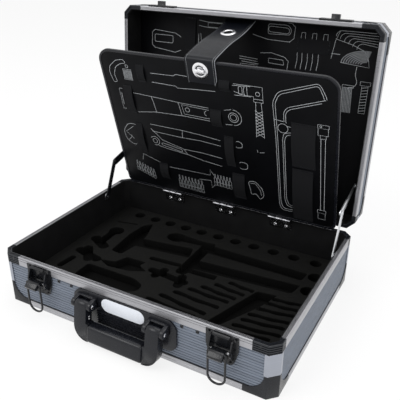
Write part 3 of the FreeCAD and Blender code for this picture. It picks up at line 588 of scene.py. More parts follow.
def waved(start, end, wide, steps=18):
    # a slot with softly waving sides, as the spanners' slots have
    run = Vector((end[0] - start[0], end[1] - start[1]))
    side = Vector((-run.y, run.x)).normalized()
    upper = []
    lower = []
    for index in range(steps + 1):
        share = index / steps
        middle = Vector(start) + run * share + side * 0.7 * sin(share * 9)
        half = wide / 2 * min(1, 0.66 + 6 * min(share, 1 - share)) + 0.4 * sin(share * 14)
        upper.append(tuple(middle + side * half))
        lower.append(tuple(middle - side * half))
    return upper + lower[::-1]


def ringPoints(x, y, radius, squash=1.0, count=24):
    return [(x + radius * cos(2 * pi * index / count), y + radius * squash * sin(2 * pi * index / count))
            for index in range(count)]


def eased(points, radius, count=4):
    # a polygon with its corners rounded by short curves
    loop = []
    for index, point in enumerate(points):
        here = Vector(point)
        before = Vector(points[index - 1]) - here
        after = Vector(points[(index + 1) % len(points)]) - here
        reach = min(radius, before.length * 0.45, after.length * 0.45)
        first = here + before.normalized() * reach
        last = here + after.normalized() * reach
        for step in range(count + 1):
            share = step / count
            spot = first * (1 - share) ** 2 + here * 2 * share * (1 - share) + last * share ** 2
            loop.append((spot.x, spot.y))
    return loop


def foamRecesses():
    loops = [ringPoints(x, 133, 10.2) for x in (-176, -140, -106, -72, -38, -3, 32, 68, 105, 143, 182)]
    loops += [ringPoints(195, 92, 12.2), ringPoints(197, 50, 12.2)]
    loops += [along((-197, 91), (-161, 99), 5)]
    loops += [ringPoints(-179, 60, 14.5, 0.95), along((-181, 62), (-180, 14), 17),
              along((-196, 20), (-166, 4), 19)]
    loops += [along((-195, -26), (-150, -36), 17), along((-186, -14), (-164, -42), 17)]
    loops += [eased([(-147, 100), (-134, 116), (-119, 70), (-116, 42), (-123, -3), (-146, -1), (-151, 62)], 5),
              eased([(-120, 60), (-22, 74), (-14, 44), (-120, 32)], 5)]
    loops += [ringPoints(-68, 94, 19, 0.82), eased([(-66, 108), (-20, 104), (6, 107), (6, 92), (-66, 84)], 5)]
    loops += [eased([(-14, 104), (-14, -2), (-9, -6), (2, -6), (7, -2), (7, 104)], 3)]
    loops += [eased([(-4, 73), (178, 73), (181, 97), (-4, 99)], 5),
              eased([(4, 17), (176, 31), (182, 59), (2, 45)], 5)]
    loops += [along((-68, 12), (-18, 16), 11), eased([(1, 3), (55, 5), (55, 19), (1, 17)], 3)]
    loops += [eased([(-146, -34), (-117, -27), (-108, -5), (-70, -4), (-74, -17), (-54, -27), (-80, -40),
                     (-120, -45)], 4)]
    loops += [along((-48, -18), (16, -24), 15), along((-30, -9), (-36, -29), 15),
              along((6, -12), (11, -35), 16)]
    loops += [eased([(-154, -90), (-154, -53), (-60, -53), (-38, -62), (-36, -80), (-52, -90)], 7)]
    loops += [along((-192, -80), (-189, -52), 12)]
    starts = [(-15, -87), (-2, -69), (13, -52), (29, -34), (44, -19), (60, -3), (78, 12)]
    ends = [(77, -93), (85, -79), (95, -56), (102, -37), (108, -24), (115, -9), (124, 7)]
    loops += [waved(first, last, 8.8) for first, last in zip(starts, ends)]
    starts = [(156, 4), (150, -10), (144, -29), (138, -47), (134, -63), (128, -80), (118, -95)]
    ends = [(205, 11), (204, -5), (203, -20), (204, -38), (199, -54), (200, -71), (190, -86)]
    loops += [waved(first, last, 8.2) for first, last in zip(starts, ends)]
    loops += [eased([(128, 12), (160, 16), (148, -22), (114, -90), (90, -102), (112, -36)], 4)]
    return loops


def foamSheet(mesh, low, high):
    inset = foamSizes["inset"]
    plan = octagon(halfX - inset, halfY - inset, case["corner"] - inset * 0.586)
    extruded(mesh, [Vector((a, b, low)) * mm for a, b in plan], Vector((0, 0, (high - low) * mm)))


def cutMesh(block, cutters):
    # the exact boolean of a block and one mesh of many cutters
    holders = []
    for name, mesh in (("foam block", block), ("foam cutters", cutters)):
        bmesh.ops.recalc_face_normals(mesh, faces=mesh.faces)
        data = bpy.data.meshes.new(name)
        mesh.to_mesh(data)
        mesh.free()
        holder = linked(name, data)
        holders.append(holder)
    step = holders[0].modifiers.new("recesses", "BOOLEAN")
    step.operation = "DIFFERENCE"
    step.solver = "EXACT"
    step.use_self = True
    step.object = holders[1]
    graph = bpy.context.evaluated_depsgraph_get()
    result = bmesh.new()
    result.from_mesh(holders[0].evaluated_get(graph).to_mesh())
    for holder in holders:
        bpy.data.objects.remove(holder)
    return result


def foamInsert():
    block = bmesh.new()
    foamSheet(block, foamSizes["floor"], foamSizes["top"])
    cutters = bmesh.new()
    low = foamSizes["floor"] - foamSizes["bend"]
    tall = foamSizes["top"] - foamSizes["floor"] + 2 * foamSizes["bend"]
    for loop in foamRecesses():
        extruded(cutters, [Vector((x, y, low)) * mm for x, y in loop], Vector((0, 0, tall * mm)))
    mesh = cutMesh(block, cutters)
    bmesh.ops.remove_doubles(mesh, verts=mesh.verts, dist=0.01 * mm)
    softEdges(mesh, foamSizes["soft"], 60, 2, foamSizes["top"] * mm - 0.01 * mm)
    piece("foam_insert", mesh, "foam", "base", ("foam_tray",), angle=45)
    backing = bmesh.new()
    foamSheet(backing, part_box("foam_backing")[0][2] / mm, foamSizes["floor"] - case["gap"])
    piece("foam_base_sheet", backing, "foam", "base", ("foam_backing",))


foamInsert()
print("foam ready")


# Front furniture: rivets, latches and handle

front = -halfY


frontRivetSizes = dict(inset=2.2, apart=23.5, radius=2.6, tall=1.25)


def frontRivets():
    size = frontRivetSizes
    mesh = bmesh.new()
    low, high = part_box("front_rivets")
    z = (low[2] + high[2]) / 2
    for x in (low[0] + size["inset"] * mm, high[0] - size["inset"] * mm):
        for shift in (0, size["apart"] * mm if x < 0 else -size["apart"] * mm):
            buttonHead(mesh, (x + shift, high[1], z), (0, -1, 0), size["radius"] * mm, size["tall"] * mm, True)
    piece("front_rivet_heads", mesh, "dark_metal", "base", ("front_rivets",))


latchSizes = dict(x=154, pinY=-168, pinZ=58, wall=0.6, raised=2.3, border=5.6, cheek=14.4, cheekWall=2.2,
                  hoodHalf=12, lugHalf=9, lever=10.4, bailY=-177.33, bailZ=61.4, bailHalf=12.5, bailLong=50.5,
                  bailRound=12, bailElbow=1.9, bailEye=4.4, bailWire=1.58)


def latchPlate(side):
    # a thin back sheet, a raised frame round the lever, cheeks beside it, a hood over it and a lug below
    size = latchSizes
    x = side * size["x"]
    outer = [(x - 23.5, 82), (x - 23.5, 60), (x - 21.5, 52), (x - 17, 38.5), (x - 14, 36), (x + 14, 36),
             (x + 17, 38.5), (x + 21.5, 52), (x + 23.5, 60), (x + 23.5, 82)]
    face = front - 0.1
    mesh = bmesh.new()
    alongY(mesh, face, outer, -size["wall"])
    ring = bmesh.new()
    middle = ring.faces.new([ring.verts.new(Vector((a, face - 0.3, b)) * mm) for a, b in outer])
    bmesh.ops.inset_region(ring, faces=[middle], thickness=size["border"] * mm, depth=0)
    bmesh.ops.delete(ring, geom=[middle], context="FACES_ONLY")
    pulledOut(ring, ring.faces[:], (0, -size["raised"] * mm, 0))
    softEdges(ring, 0.6, 25, 3)
    joinMesh(mesh, ring)
    cheek = [(face - 0.5, 76), (face - 4.5, 75), (face - 9.2, 63), (face - 9.4, 56), (face - 7.5, 52),
             (face - 3, 46.5), (face - 0.5, 44)]
    for hand in (-1, 1):
        alongX(mesh, x + hand * size["cheek"], cheek, hand * size["cheekWall"])
    hood = [(face - 2, 81.4), (face - 4.2, 80.8), (face - 4.8, 78.6), (face - 4.2, 77.6), (face - 2, 78)]
    alongX(mesh, x - size["hoodHalf"], hood, 2 * size["hoodHalf"])
    lug = [(face - 0.4, 49), (face - 1.8, 48.6), (face - 1.8, 44), (face - 0.4, 43.5)]
    alongX(mesh, x - size["lugHalf"], lug, 2 * size["lugHalf"])
    return mesh


def latches():
    plates = bmesh.new()
    heads = bmesh.new()
    for side in (-1, 1):
        joinMesh(plates, latchPlate(side))
        x = side * latchSizes["x"]
        for dx, z in ((-19, 78), (19, 78), (-12, 39), (12, 39)):
            buttonHead(heads, Vector((x + dx, front - 2.5, z)) * mm, (0, -1, 0), 1.9 * mm, 0.9 * mm)
        for hand in (-1, 1):
            buttonHead(heads, Vector((x + hand * 16.5, latchSizes["pinY"], latchSizes["pinZ"])) * mm,
                       (hand, 0, 0), 2.4 * mm, 0.9 * mm)
    piece("latch_shields", plates, "dark_metal", "base", ("latch_plates",), angle=40)
    piece("latch_rivets", heads, "dark_metal", "base")
    for name, side in (("left", -1), ("right", 1)):
        lever(name, side)
        bail(name, side)


def lever(name, side):
    # a pressed channel with a rolled finger lip
    size = latchSizes
    x = side * size["x"]
    mesh = bmesh.new()
    shape = [(-165.2, 56.5), (-166.2, 60.6), (-169.5, 61.4), (-174, 63.4), (-178.2, 63.6), (-180.6, 62),
             (-182.6, 60.1), (-184.6, 58.9), (-185.3, 56.8), (-184.3, 54.5), (-182, 53.5), (-179.8, 54.1),
             (-178.6, 55.8), (-176, 57), (-171, 56.2), (-168.5, 54.9), (-166.4, 55.1)]
    alongX(mesh, x - size["lever"], shape, 2 * size["lever"])
    softEdges(mesh, 0.6, 60, 3)
    ridge = [(-180.4, 62.15), (-182.3, 60.6), (-182.0, 60.2), (-180.1, 61.8)]
    for index in range(5):
        alongX(mesh, x - 7 + index * 3.5, ridge, 1.6)
    piece("latch_lever_%s_channel" % name, mesh, "dark_metal", "latch_lever_" + name,
          ("latch_lever_" + name,), angle=35)


def tube(name, points, radius, closed=False, sides=4):
    # a round wire along points, as a mesh
    curve = bpy.data.curves.new(name, "CURVE")
    curve.dimensions = "3D"
    curve.bevel_depth = radius
    curve.bevel_resolution = sides
    curve.use_fill_caps = True
    spline = curve.splines.new("POLY")
    spline.points.add(len(points) - 1)
    for target, point in zip(spline.points, points):
        target.co = (*point, 1)
    spline.use_cyclic_u = closed
    holder = linked(name, curve)
    data = bpy.data.meshes.new_from_object(holder)
    bpy.data.objects.remove(holder)
    return data


def arc(centre, radius, first, last, count=6):
    return [(centre[0] + radius * cos(first + (last - first) * index / count),
             centre[1] + radius * sin(first + (last - first) * index / count)) for index in range(count + 1)]


def bail(name, side):
    size = latchSizes
    x = side * size["x"]
    y = size["bailY"]
    z = size["bailZ"]
    half = size["bailHalf"]
    low = z - size["bailLong"]
    bend = size["bailElbow"]
    bow = size["bailRound"]
    route = [(x - half + size["bailEye"], z)] + arc((x - half + bend, z - bend), bend, pi / 2, pi)
    route += arc((x - half + bow, low + bow), bow, pi, 1.5 * pi, 10)
    route += arc((x + half - bow, low + bow), bow, 1.5 * pi, 2 * pi, 10)
    route += arc((x + half - bend, z - bend), bend, 0, pi / 2)
    route.append((x + half - size["bailEye"], z))
    wire = size["bailWire"] * mm
    data = tube("latch_bail_%s_wire" % name, [Vector((a, y, b)) * mm for a, b in route], wire)
    dressed("latch_bail_%s_wire" % name, data, "dark_metal", "latch_bail_" + name, ("latch_bail_" + name,))


frontRivets()
latches()
softened("latch_pins", "zinc", 0.2)
softened("latch_strikers", "dark_metal", 0.4)
print("latches ready")


handleSizes = dict(half=87, low=20, high=71, cut=9.6, wall=3.2, ribHalf=46, ribFirst=22.2, ribPitch=4,
                   lugs=((43.9, 49.7), (71.3, 77.1)), back=-164.1, pinY=-176, pinZ=57, nose=7, armHalf=6.9,
                   eyeX=50.1, gripMiddle=-39.5)


def handlePlate():
    size = handleSizes
    half, low, high, cut = (size[key] for key in ("half", "low", "high", "cut"))
    face = front + 1.2
    mesh = bmesh.new()
    shape = eased([(-half, low + cut), (cut - half, low), (half - cut, low), (half, low + cut),
                   (half, high - cut), (half - cut, high), (cut - half, high), (-half, high - cut)], 4)
    alongY(mesh, face, shape, -size["wall"])
    softEdges(mesh, 0.7, 50, 2)
    for index in range(6):
        z = size["ribFirst"] + index * size["ribPitch"]
        rib = [(face - 3.1, z), (face - 4.6, z + 0.5), (face - 4.6, z + 1.5), (face - 3.1, z + 2)]
        alongX(mesh, -size["ribHalf"], rib, 2 * size["ribHalf"])
    piece("handle_plate_ribbed", mesh, "black_plastic", "base", ("handle_back_plate",), angle=40)
    softened("label_plate", "label", 0.35, 3)


def handleBrackets():
    # behind each eye two lugs with round noses, a sloped cover and a web
    size = handleSizes
    back = size["back"]
    inner, outer = size["lugs"][0][0], size["lugs"][1][1]
    nose = arc((size["pinY"], size["pinZ"]), size["nose"], 1.5 * pi, 0.6 * pi, 12)
    cover = [(back, 66), (-168.6, 65), (-168.4, 63.6), (back, 64)]
    web = [(back, 50), (-166.8, 50), (-166.8, 64), (back, 64)]
    heads = bmesh.new()
    for side, name, names in ((-1, "left", ("handle_brackets",)), (1, "right", ())):
        mesh = bmesh.new()
        for first, last in size["lugs"]:
            alongX(mesh, first if side > 0 else -last, [(back, 49)] + nose + [(back, 66)], last - first)
        for shape in (cover, web):
            alongX(mesh, inner if side > 0 else -outer, shape, outer - inner)
        softEdges(mesh, 0.5, 50, 2)
        piece("handle_clevis_" + name, mesh, "black_plastic", "base", names, angle=40)
        for end, hand in ((inner, -1), (outer, 1)):
            buttonHead(heads, Vector((side * end, size["pinY"], size["pinZ"])) * mm, (side * hand, 0, 0),
                       2.9 * mm, 0.8 * mm)
    piece("handle_pin_heads", heads, "chrome", "base")
    softened("handle_pins", "chrome", 0.3)


def handleLoop():
    # arms with a swept outer corner and a grip between them, in the hanging frame
    size = handleSizes
    for side, name, names in ((-1, "left", ("handle_arms",)), (1, "right", ())):
        mesh = bmesh.new()
        shape = [(50, 1), (50, -25.4), (46.1, -25.4), (46.1, -53.4), (50, -53.4)]
        shape += arc((48.8, -31.4), 22, -pi / 2, 0, 12) + [(70.8, 1)]
        alongY(mesh, size["armHalf"], [(side * a, b) for a, b in shape], -2 * size["armHalf"])
        softEdges(mesh, 2.6, 40, 4)
        eye = [(2.2, 0), (6.2, 0), (6.9, 0.8), (6.9, 20), (6.2, 20.8), (2.2, 20.8), (2.2, 0)]
        spun(mesh, eye, Vector((side * size["eyeX"], 0, 0)) * mm, (side, 0, 0), 32)
        piece("handle_arm_" + name, mesh, "grip", "handle", names, angle=45, matrix=handleHang)
    grip = bmesh.new()
    section = eased([(-9.4, -53.4), (9.4, -53.4), (9.4, -25.6), (-9.4, -25.6)], 6.5, 7)
    middle = size["gripMiddle"]
    rings = []
    for x, shrink in ((-45.9, 0.9), (-45.2, 0.965), (-43, 1), (43, 1), (45.2, 0.965), (45.9, 0.9)):
        places = [(x, a * shrink, middle + (b - middle) * shrink) for a, b in section]
        rings.append([grip.verts.new(Vector(place) * mm) for place in places])
    skinned(grip, rings)
    piece("handle_grip_moulding", grip, "grip", "handle", ("handle_grip",), angle=45, matrix=handleHang)
    screws = bmesh.new()
    for side in (-1, 1):
        for z in (-20.6, -17):
            buttonHead(screws, Vector((side * 49.95, 1.2, z)) * mm, (-side, 0, 0), 1.5 * mm, 0.9 * mm, True)
    piece("handle_screw_heads", screws, "chrome", "handle", ("handle_screws",), matrix=handleHang)


handlePlate()
handleBrackets()
handleLoop()
print("handle ready")


# Hinges and stays

hingeSizes = dict(boardX=(-107, 0, 107), boardApart=(-10, 10), boardY=152.9, boardZ=72, caseX=(-130, 130),
                  caseApart=(-26, -9, 9, 26), caseOut=1.3, caseZ=75)


def hingeScrews():
    size = hingeSizes
    mesh = bmesh.new()
    for x in size["boardX"]:
        for dx in size["boardApart"]:
            place = Vector((x + dx, size["boardY"], size["boardZ"])) * mm
            buttonHead(mesh, place, (0, -1, 0), 3.2 * mm, 1.3 * mm, True)
    piece("board_hinge_screws", mesh, "chrome", "base")
    back = bmesh.new()
    for x in size["caseX"]:
        for dx in size["caseApart"]:
            place = Vector((x + dx, halfY + size["caseOut"], size["caseZ"])) * mm
            buttonHead(back, place, (0, 1, 0), 2.2 * mm, 0.9 * mm)
    piece("case_hinge_rivets", back, "zinc", "base")


for name, finish in (("case_hinge_base_leaves", "zinc"), ("case_hinge_lid_leaves", "zinc"),
                     ("hinge_pins", "zinc"), ("board_hinge_base_leaves", "smoked"),
                     ("board_hinge_leaves", "smoked"), ("stay_base_brackets", "zinc"),
                     # the left stay's arms are the same metal as the right's; their dark coated finish is
                     # painted shade
                     ("stay_lid_brackets", "zinc"), ("stay_lower_arm_left", "dark_metal"),
                     ("stay_upper_arm_left", "dark_metal"),
                     ("stay_lower_arm_right", "zinc"), ("stay_upper_arm_right", "zinc")):
    softened(name, finish, 0.25)
hingeScrews()
print("hinges ready")


# Lid panel, board and the printed tool outlines

softened("lid_tool_panel", "printed_panel", 0.3)
softened("board_panel", "printed_panel", 0.3)
softened("board_edge_binding", "black_plastic", 0.6, 3)

printSizes = dict(line=0.3, flat=0.2, boardFace=-4.6, lidFace=40.75)


def printed(name, loops, place, body, finish="ink", wide=printSizes["line"]):
    # thin raised lines: each loop is (points, closed) on the flat panel
    mesh = bmesh.new()
    for points, closed in loops:
        data = tube("line", [Vector((x, 0, z)) * mm for x, z in points], wide * mm, closed, sides=0)
        mesh.from_mesh(data)
        bpy.data.meshes.remove(data)
    for vert in mesh.verts:
        vert.co.y *= printSizes["flat"]
    piece(name, mesh, finish, body, matrix=place)


def bar(x0, z0, x1, z1):
    return ([(x0, z0), (x1, z0), (x1, z1), (x0, z1)], True)


def pill(start, end, wide):
    return (along(start, end, wide, 5), True)


def circle(x, z, radius):
    return (ringPoints(x, z, radius, count=20), True)


def pairs(numbers):
    return list(zip(numbers[::2], numbers[1::2]))


def line(*numbers):
    return (pairs(numbers), False)


def patch(radius, *numbers):
    # a closed outline with eased corners
    return (eased(pairs(numbers), radius), True)


def swept(radius, trim, *numbers):
    # an open line with eased corners, less a few points at each end
    return (eased(pairs(numbers), radius)[trim:-trim], False)


def bits(first, last, count, tall, wide):
    # a row of small driver bits, each a shank with a shouldered tip
    loops = []
    for index in range(count):
        share = index / (count - 1)
        x = first[0] + (last[0] - first[0]) * share
        z = first[1] + (last[1] - first[1]) * share
        loops.append(([(x + wide * a, z + tall * b) for a, b in (
            (0, 0), (0, 0.62), (0.3, 0.7), (0.3, 1), (0.7, 1), (0.7, 0.7), (1, 0.62), (1, 0))], True))
        loops.append(line(x, z + tall * 0.3, x + wide, z + tall * 0.3))
    return loops


def boardPrints():
    loops = []
    # lanyard and tag
    loops += [patch(4, -151, 259, -156, 265, -171, 262, -186, 250, -189, 238, -184, 221, -177, 222, -180,
                    236, -174, 250, -162, 257), bar(-160, 248, -144, 229), circle(-151, 253.5, 2.6)]
    # long driver with a collar
    loops += [line(-106, 247, -62, 248, -58, 251, -36, 250),
              line(-106, 231, -62, 230, -58, 227, -30, 229, 10, 231), line(40, 246, 70, 248),
              line(42, 230, 70, 231), pill((53, 243), (53, 235), 6), line(60, 247, 58, 239, 60, 231)]
    # hook scale
    loops += [line(-171, 210, -177, 210, -177, 171, -171, 171), line(-174, 202, -174, 179)]
    # tapered wrench with a ring end
    loops += [line(-149, 205, -109, 203, -56, 200, -6, 199), line(-147, 168, -111, 174, -56, 176, -6, 175),
              line(-113, 203, -108, 174), line(-62, 200, -58, 176),
              line(-6, 195, -56, 197, -53, 180, -6, 179), circle(-46, 189, 4),
              (arc((-10, 188), 4.5, 0.6 * pi, 1.4 * pi, 6), False), circle(37, 189, 5.4),
              circle(37, 189, 8.6), line(22, 200, 34, 203), line(22, 174, 34, 175),
              (arc((37, 189), 14, -0.5 * pi, 0.5 * pi, 12), False)]
    # hooked scraper
    loops += [swept(7, 2, -158, 141, -176, 140, -189, 124, -187, 104, -173, 96, -166, 97),
              line(-166, 135, -184, 122, -174, 112, -182, 104), line(-176, 116, -170, 108)]
    # pliers with two handles
    loops += [line(-128, 147, -63, 146, -30, 144, 8, 140), line(-126, 133, -65, 131, -30, 132, 8, 129),
              line(-128, 138, -108, 118, -66, 107, -30, 107, 8, 104),
              line(-118, 104, -100, 101, -59, 97, -30, 91, 6, 87), line(-63, 146, -65, 131),
              line(-66, 107, -60, 97), pill((-108, 109), (-72, 103), 5), circle(-124, 113, 4.5),
              (arc((-124, 113), 9, -0.6 * pi, 0.8 * pi, 12), False),
              swept(4, 1, 38, 146, 48, 143, 48, 134, 36, 132),
              swept(5, 1, 40, 105, 55, 104, 54, 92, 40, 90)]
    # three rows of bits
    loops += bits((-178, 37), (-144, 24), 7, 22, 4.2) + bits((-88, 19), (-42, 17), 8, 27, 4.2)
    loops += bits((-13, 42), (16, 41), 6, 24, 4.4)
    loops += [line(-161, 64, -157, 78, -123, 66), line(-103, 60, -20, 62, -19, 74, -13, 64),
              line(-44, 47, -20, 50, -19, 34, -13, 42)]
    # adjustable jaw
    loops += [patch(5, 53, 67, 66, 70, 78, 57, 81, 42, 73, 32, 66, 44, 57, 39, 56, 50),
              line(57, 64, 66, 65, 74, 53, 76, 42)]
    # ratchet with a crosshatched handle
    loops += [line(42, 249, 89, 249, 89, 223, 74, 223, 74, 232, 60, 232, 42, 236), circle(81, 237, 3.4),
              line(64, 249, 64, 232), line(74, 228, 89, 228), line(77, 223, 74.5, 160),
              line(86, 223, 88, 160), line(74, 136, 75, 131), line(78, 131, 86, 133)]
    for index in range(8):
        low = 162 + index * 5.6
        loops += [([(75, low), (87.4, low + 7)], False), ([(75, low + 7), (87.4, low)], False)]
    # bow saw
    loops += [swept(7, 2, 187, 244, 175, 268, 113, 246, 104, 228, 107, 166, 108, 34, 112, 22, 132, 22),
              swept(6, 2, 183, 243, 174, 264, 115, 242, 108, 227, 110, 166, 111, 38, 115, 26, 132, 26),
              swept(6, 2, 187, 244, 127, 222, 121, 214, 121, 195),
              swept(5, 2, 181, 238, 130, 219, 124, 212, 124, 193),
              swept(4, 2, 133, 180, 120, 176, 118, 166, 118, 46, 122, 33, 132, 31),
              swept(4, 2, 133, 176, 124, 173, 121, 164, 121, 48, 125, 37, 132, 35), circle(119, 185, 8),
              line(105, 199, 121, 197), line(133, 189, 126, 190)]
    # extension bar with a square end
    loops += [bar(173, 202, 190, 196), bar(173.5, 196, 189, 184), bar(177, 184, 186, 178),
              circle(177.5, 199, 1.4), line(178, 178, 179, 40), line(185, 178, 185, 40),
              bar(174, 40, 188, 34), bar(175, 34, 187, 21)]
    place = boardStand @ Matrix.Translation((0, (printSizes["boardFace"] - 0.02) * mm, 0))
    printed("board_prints", loops, place, "tool_board")
    fills = [([(-158 + index * 2.5, 246.5), (-158 + index * 2.5, 230.5)], False) for index in range(6)]
    printed("board_print_fills", fills, place, "tool_board", "inkFill", 0.9)


def lidPrints():
    loops = []
    fills = []
    # all in shut-lid places (x, y): a handle end left of the tape
    loops += [line(-134, -111, -146, -117, -190, -120, -196, -115, -196, -93, -190, -88, -162, -85, -146,
                   -83, -134, -88), patch(3, -190, -112, -151, -112, -151, -99, -190, -99)]
    # a driver that runs under the strap
    loops += [line(-98, -143, -80, -141, -20, -141), line(-98, -134, -80, -132, -20, -132),
              bar(-80, -140, -52, -133), line(-98, -120, -98, -104), line(-94, -121, -92, -108)]
    # two handle ends right of the strap
    loops += [line(6, -128, 34, -122, 72, -121, 79, -127, 80, -145, 74, -150, 66, -151),
              pill((38, -139), (66, -138), 9), patch(4, 33, -147, 68, -147, 74, -140, 72, -132, 33, -131),
              line(22, -99, 42, -101, 66, -96, 73, -90, 72, -74),
              patch(2, 38, -92, 64, -91, 66, -83, 38, -84), bar(-14, -78, 18, -70)]
    loops += [line(-16, -90, 18, -88), line(-16, -86, 18, -84), line(-12, -82, 20, -80)]
    # hooks over the tape and shafts under it
    for x in (91, 109.5, 128):
        loops.append(([(x, -129), (x + 0.6, -138), (x + 7, -138), (x + 7.4, -129)], False))
    for x in (87, 95.4, 104.6, 113.2, 122.8):
        loops.append(([(x, -106), (x + 0.8, -94), (x - 0.8, -80)], False))
    # a coil of nested bends and a fan below it
    for index in range(6):
        x = 148 + index * 7
        y = -137 + index * 3.4
        loops.append((arc((x + 9, y), 9, pi, 1.5 * pi, 6) + [(214, y - 9 + index * 0.6)], False))
    loops += [line(144, -102, 148, -130, 154, -146), line(144, -110, 158, -110),
              line(148, -133, 176, -126, 196, -118, 203, -104)]
    for index in range(9):
        curve = arc((0, 0), 8 + index * 3.9, 0, 0.55 * pi, 8)
        fills.append(([(200 - a, -98 - b * 0.52) for a, b in curve], False))
    loops.append(line(160, -98, 206, -94, 200, -119))
    loops.append((eased([(187, -96), (186, -80), (191, -70), (187, -62), (176, -60), (184, -50)], 4), False))
    # a brush and a striped rod
    for index in range(7):
        fills.append(([(169 + index * 2.4, -60), (171 + index * 2.4, -20)], False))
    loops += [bar(168, -64, 186, -60), bar(199, -66, 209, -22), bar(196, -72, 212, -66)]
    for index in range(9):
        loops.append(([(199, -62 + index * 4.6), (209, -64 + index * 4.6)], False))
    flat = Matrix(((1, 0, 0, 0), (0, 0, 1, 0), (0, -1, 0, 0), (0, 0, 0, 1)))
    lift = (case["base"] + case["rimGap"] + printSizes["lidFace"]) * mm
    place = lidSwing @ Matrix.Translation((0, 0, lift)) @ flat
    printed("lid_prints", loops, place, "lid")
    printed("lid_print_fills", fills, place, "lid", "inkFill", 0.8)


boardPrints()
lidPrints()
print("prints ready")


# Elastic tapes: each a band with stitched ends and a low arch that the tools slip under

# each tape is its middle, width and height
tapeSizes = dict(
    wall=0.45, low=0.5, boardRise=3.4, lidRise=1.8, stitchIn=1.8, stitchPitch=3, dashHalf=0.9, threadHalf=0.25,
    board=[(-124.4, 244.1, 15, 31.5), (-158.5, 191.6, 16.5, 54), (6.6, 183.2, 19.5, 31.5),
           (-151.5, 114, 12, 63), (-115.4, 48.9, 18, 34.5), (24.6, 122.3, 16.5, 60), (35.7, 52.2, 22.5, 54),
           (27.5, 243.6, 18, 19.5), (151.6, 158.3, 38, 81), (149.6, 62, 34, 104)],
    lid=[(-115, -118, 22, 58), (113, -118, 56, 22)])


def tapes():
    size = tapeSizes
    dressTapes("board", size["board"], printSizes["boardFace"], size["boardRise"], boardStand, "tool_board",
               ("board_loops",))
    # the lid's two tapes are drawn upright and laid over on its panel
    laid = Matrix(((1, 0, 0, 0), (0, 0, 1, 0), (0, 1, 0, 0), (0, 0, 0, 1)))
    lift = case["base"] + case["rimGap"] + printSizes["lidFace"] + 0.15
    place = lidSwing @ Matrix.Translation((0, 0, lift * mm)) @ laid
    dressTapes("lid", size["lid"], 0, size["lidRise"], place, "lid", ("lid_loops",))


def dressTapes(name, spots, face, rise, place, body, names):
    mesh = bmesh.new()
    stitches = bmesh.new()
    for x, z, wide, tall in spots:
        band(mesh, stitches, x, z, wide, tall, face, rise)
    piece(name + "_elastic_tapes", mesh, "elastic", body, names, 60, place)
    piece(name + "_tape_stitches", stitches, "grip", body, matrix=place)


def band(mesh, stitches, x, z, wide, tall, face, rise):
    # the tape arches along its longer side
    size = tapeSizes
    rows = 14
    across = wide > tall
    half = (tall if across else wide) / 2
    long = wide if across else tall
    rings = []
    for index in range(rows + 1):
        share = index / rows
        arch = max(0, sin(pi * min(max((share - 0.12) / 0.76, 0), 1))) ** 0.6
        lift = size["low"] + (rise - size["low"]) * arch
        run = long * (share - 0.5)
        near = face - 0.1 - lift
        far = near + size["wall"]
        ring = []
        for side, depth in ((-half, near), (half, near), (half, far), (-half, far)):
            spot = (x + run, depth, z + side) if across else (x + side, depth, z + run)
            ring.append(mesh.verts.new(Vector(spot) * mm))
        rings.append(ring)
    skinned(mesh, rings)
    count = max(int(2 * half / size["stitchPitch"]), 3)
    for end in (size["stitchIn"] - long / 2, long / 2 - size["stitchIn"]):
        for index in range(count):
            middle = 2 * half * ((index + 0.5) / count - 0.5)
            dash = [(middle + a * size["dashHalf"], end + b * size["threadHalf"])
                    for a, b in ((-1, -1), (1, -1), (1, 1), (-1, 1))]
            if across:
                dash = [(b, a) for a, b in dash]
            alongY(stitches, face - 0.6, [(x + a, z + b) for a, b in dash], -0.25)


tapes()
print("tapes ready")


# Strap from the lid's front wall over the board's top edge, with its rings and turn stud

strapSizes = dict(x=-10, half=26, wall=1.9, stitch=3.2, tail=243.5, eyelet=(-10, 167, 386), ring=13,
                  bore=6.5, washer=13.5)


def smoothRoute(points, steps):
    # a smooth line through a few points
    padded = [points[0] * 2 - points[1]] + points + [points[-1] * 2 - points[-2]]
    route = []
    for index in range(1, len(padded) - 2):
        p0, p1, p2, p3 = padded[index - 1:index + 3]
        for step in range(steps):
            t = step / steps
            route.append((p1 * 2 + (p2 - p0) * t + (p0 * 2 - p1 * 5 + p2 * 4 - p3) * t * t
                          + (p1 * 3 - p0 - p2 * 3 + p3) * t * t * t) / 2)
    return route + [points[-1]]


def strapRoute():
    wall = lidSwing @ (Vector((0, front + 8 + 1.2 + 2.3, case["base"] + case["rimGap"] + 25)) * mm)
    onBoard = [boardStand @ (Vector((0, y, z)) * mm) for y, z in (
        (2.4, 284.2), (-2.4, 283.9), (-6.2, 281.5), (-6.5, 277), (-6.4, 262), (-6.4, 250),
        (-6.4, strapSizes["tail"]))]
    hanging = [Vector((0, y, z)) * mm for y, z in ((184.5, 389.5), (156, 383), (129, 378.6), (102, 372))]
    return smoothRoute([wall] + hanging + onBoard, 5)


def routeNormal(route, index):
    before = route[max(index - 1, 0)]
    after = route[min(index + 1, len(route) - 1)]
    tangent = (after - before).normalized()
    return Vector((0, -tangent.z, tangent.y))


def strapBand(route, left, right, wall, columns):
    # a closed band along the route with eased edges, from one side place to the other
    mesh = bmesh.new()
    rings = []
    for index, spot in enumerate(route):
        normal = routeNormal(route, index)
        fromEnd = (route[-1] - spot).length / mm
        shrink = 1 if fromEnd > 8 else 1 - (1 - fromEnd / 8) ** 2 * 0.16
        upper = []
        lower = []
        for column in range(columns + 1):
            share = column / columns
            x = strapSizes["x"] + (left + (right - left) * share) * shrink
            edge = 0.55 if column in (0, columns) else 1
            middle = Vector((x * mm, spot.y, spot.z))
            upper.append(middle + normal * (wall / 2 * edge) * mm)
            lower.append(middle - normal * (wall / 2 * edge) * mm)
        rings.append([mesh.verts.new(place) for place in upper + lower[::-1]])
    skinned(mesh, rings)
    return mesh


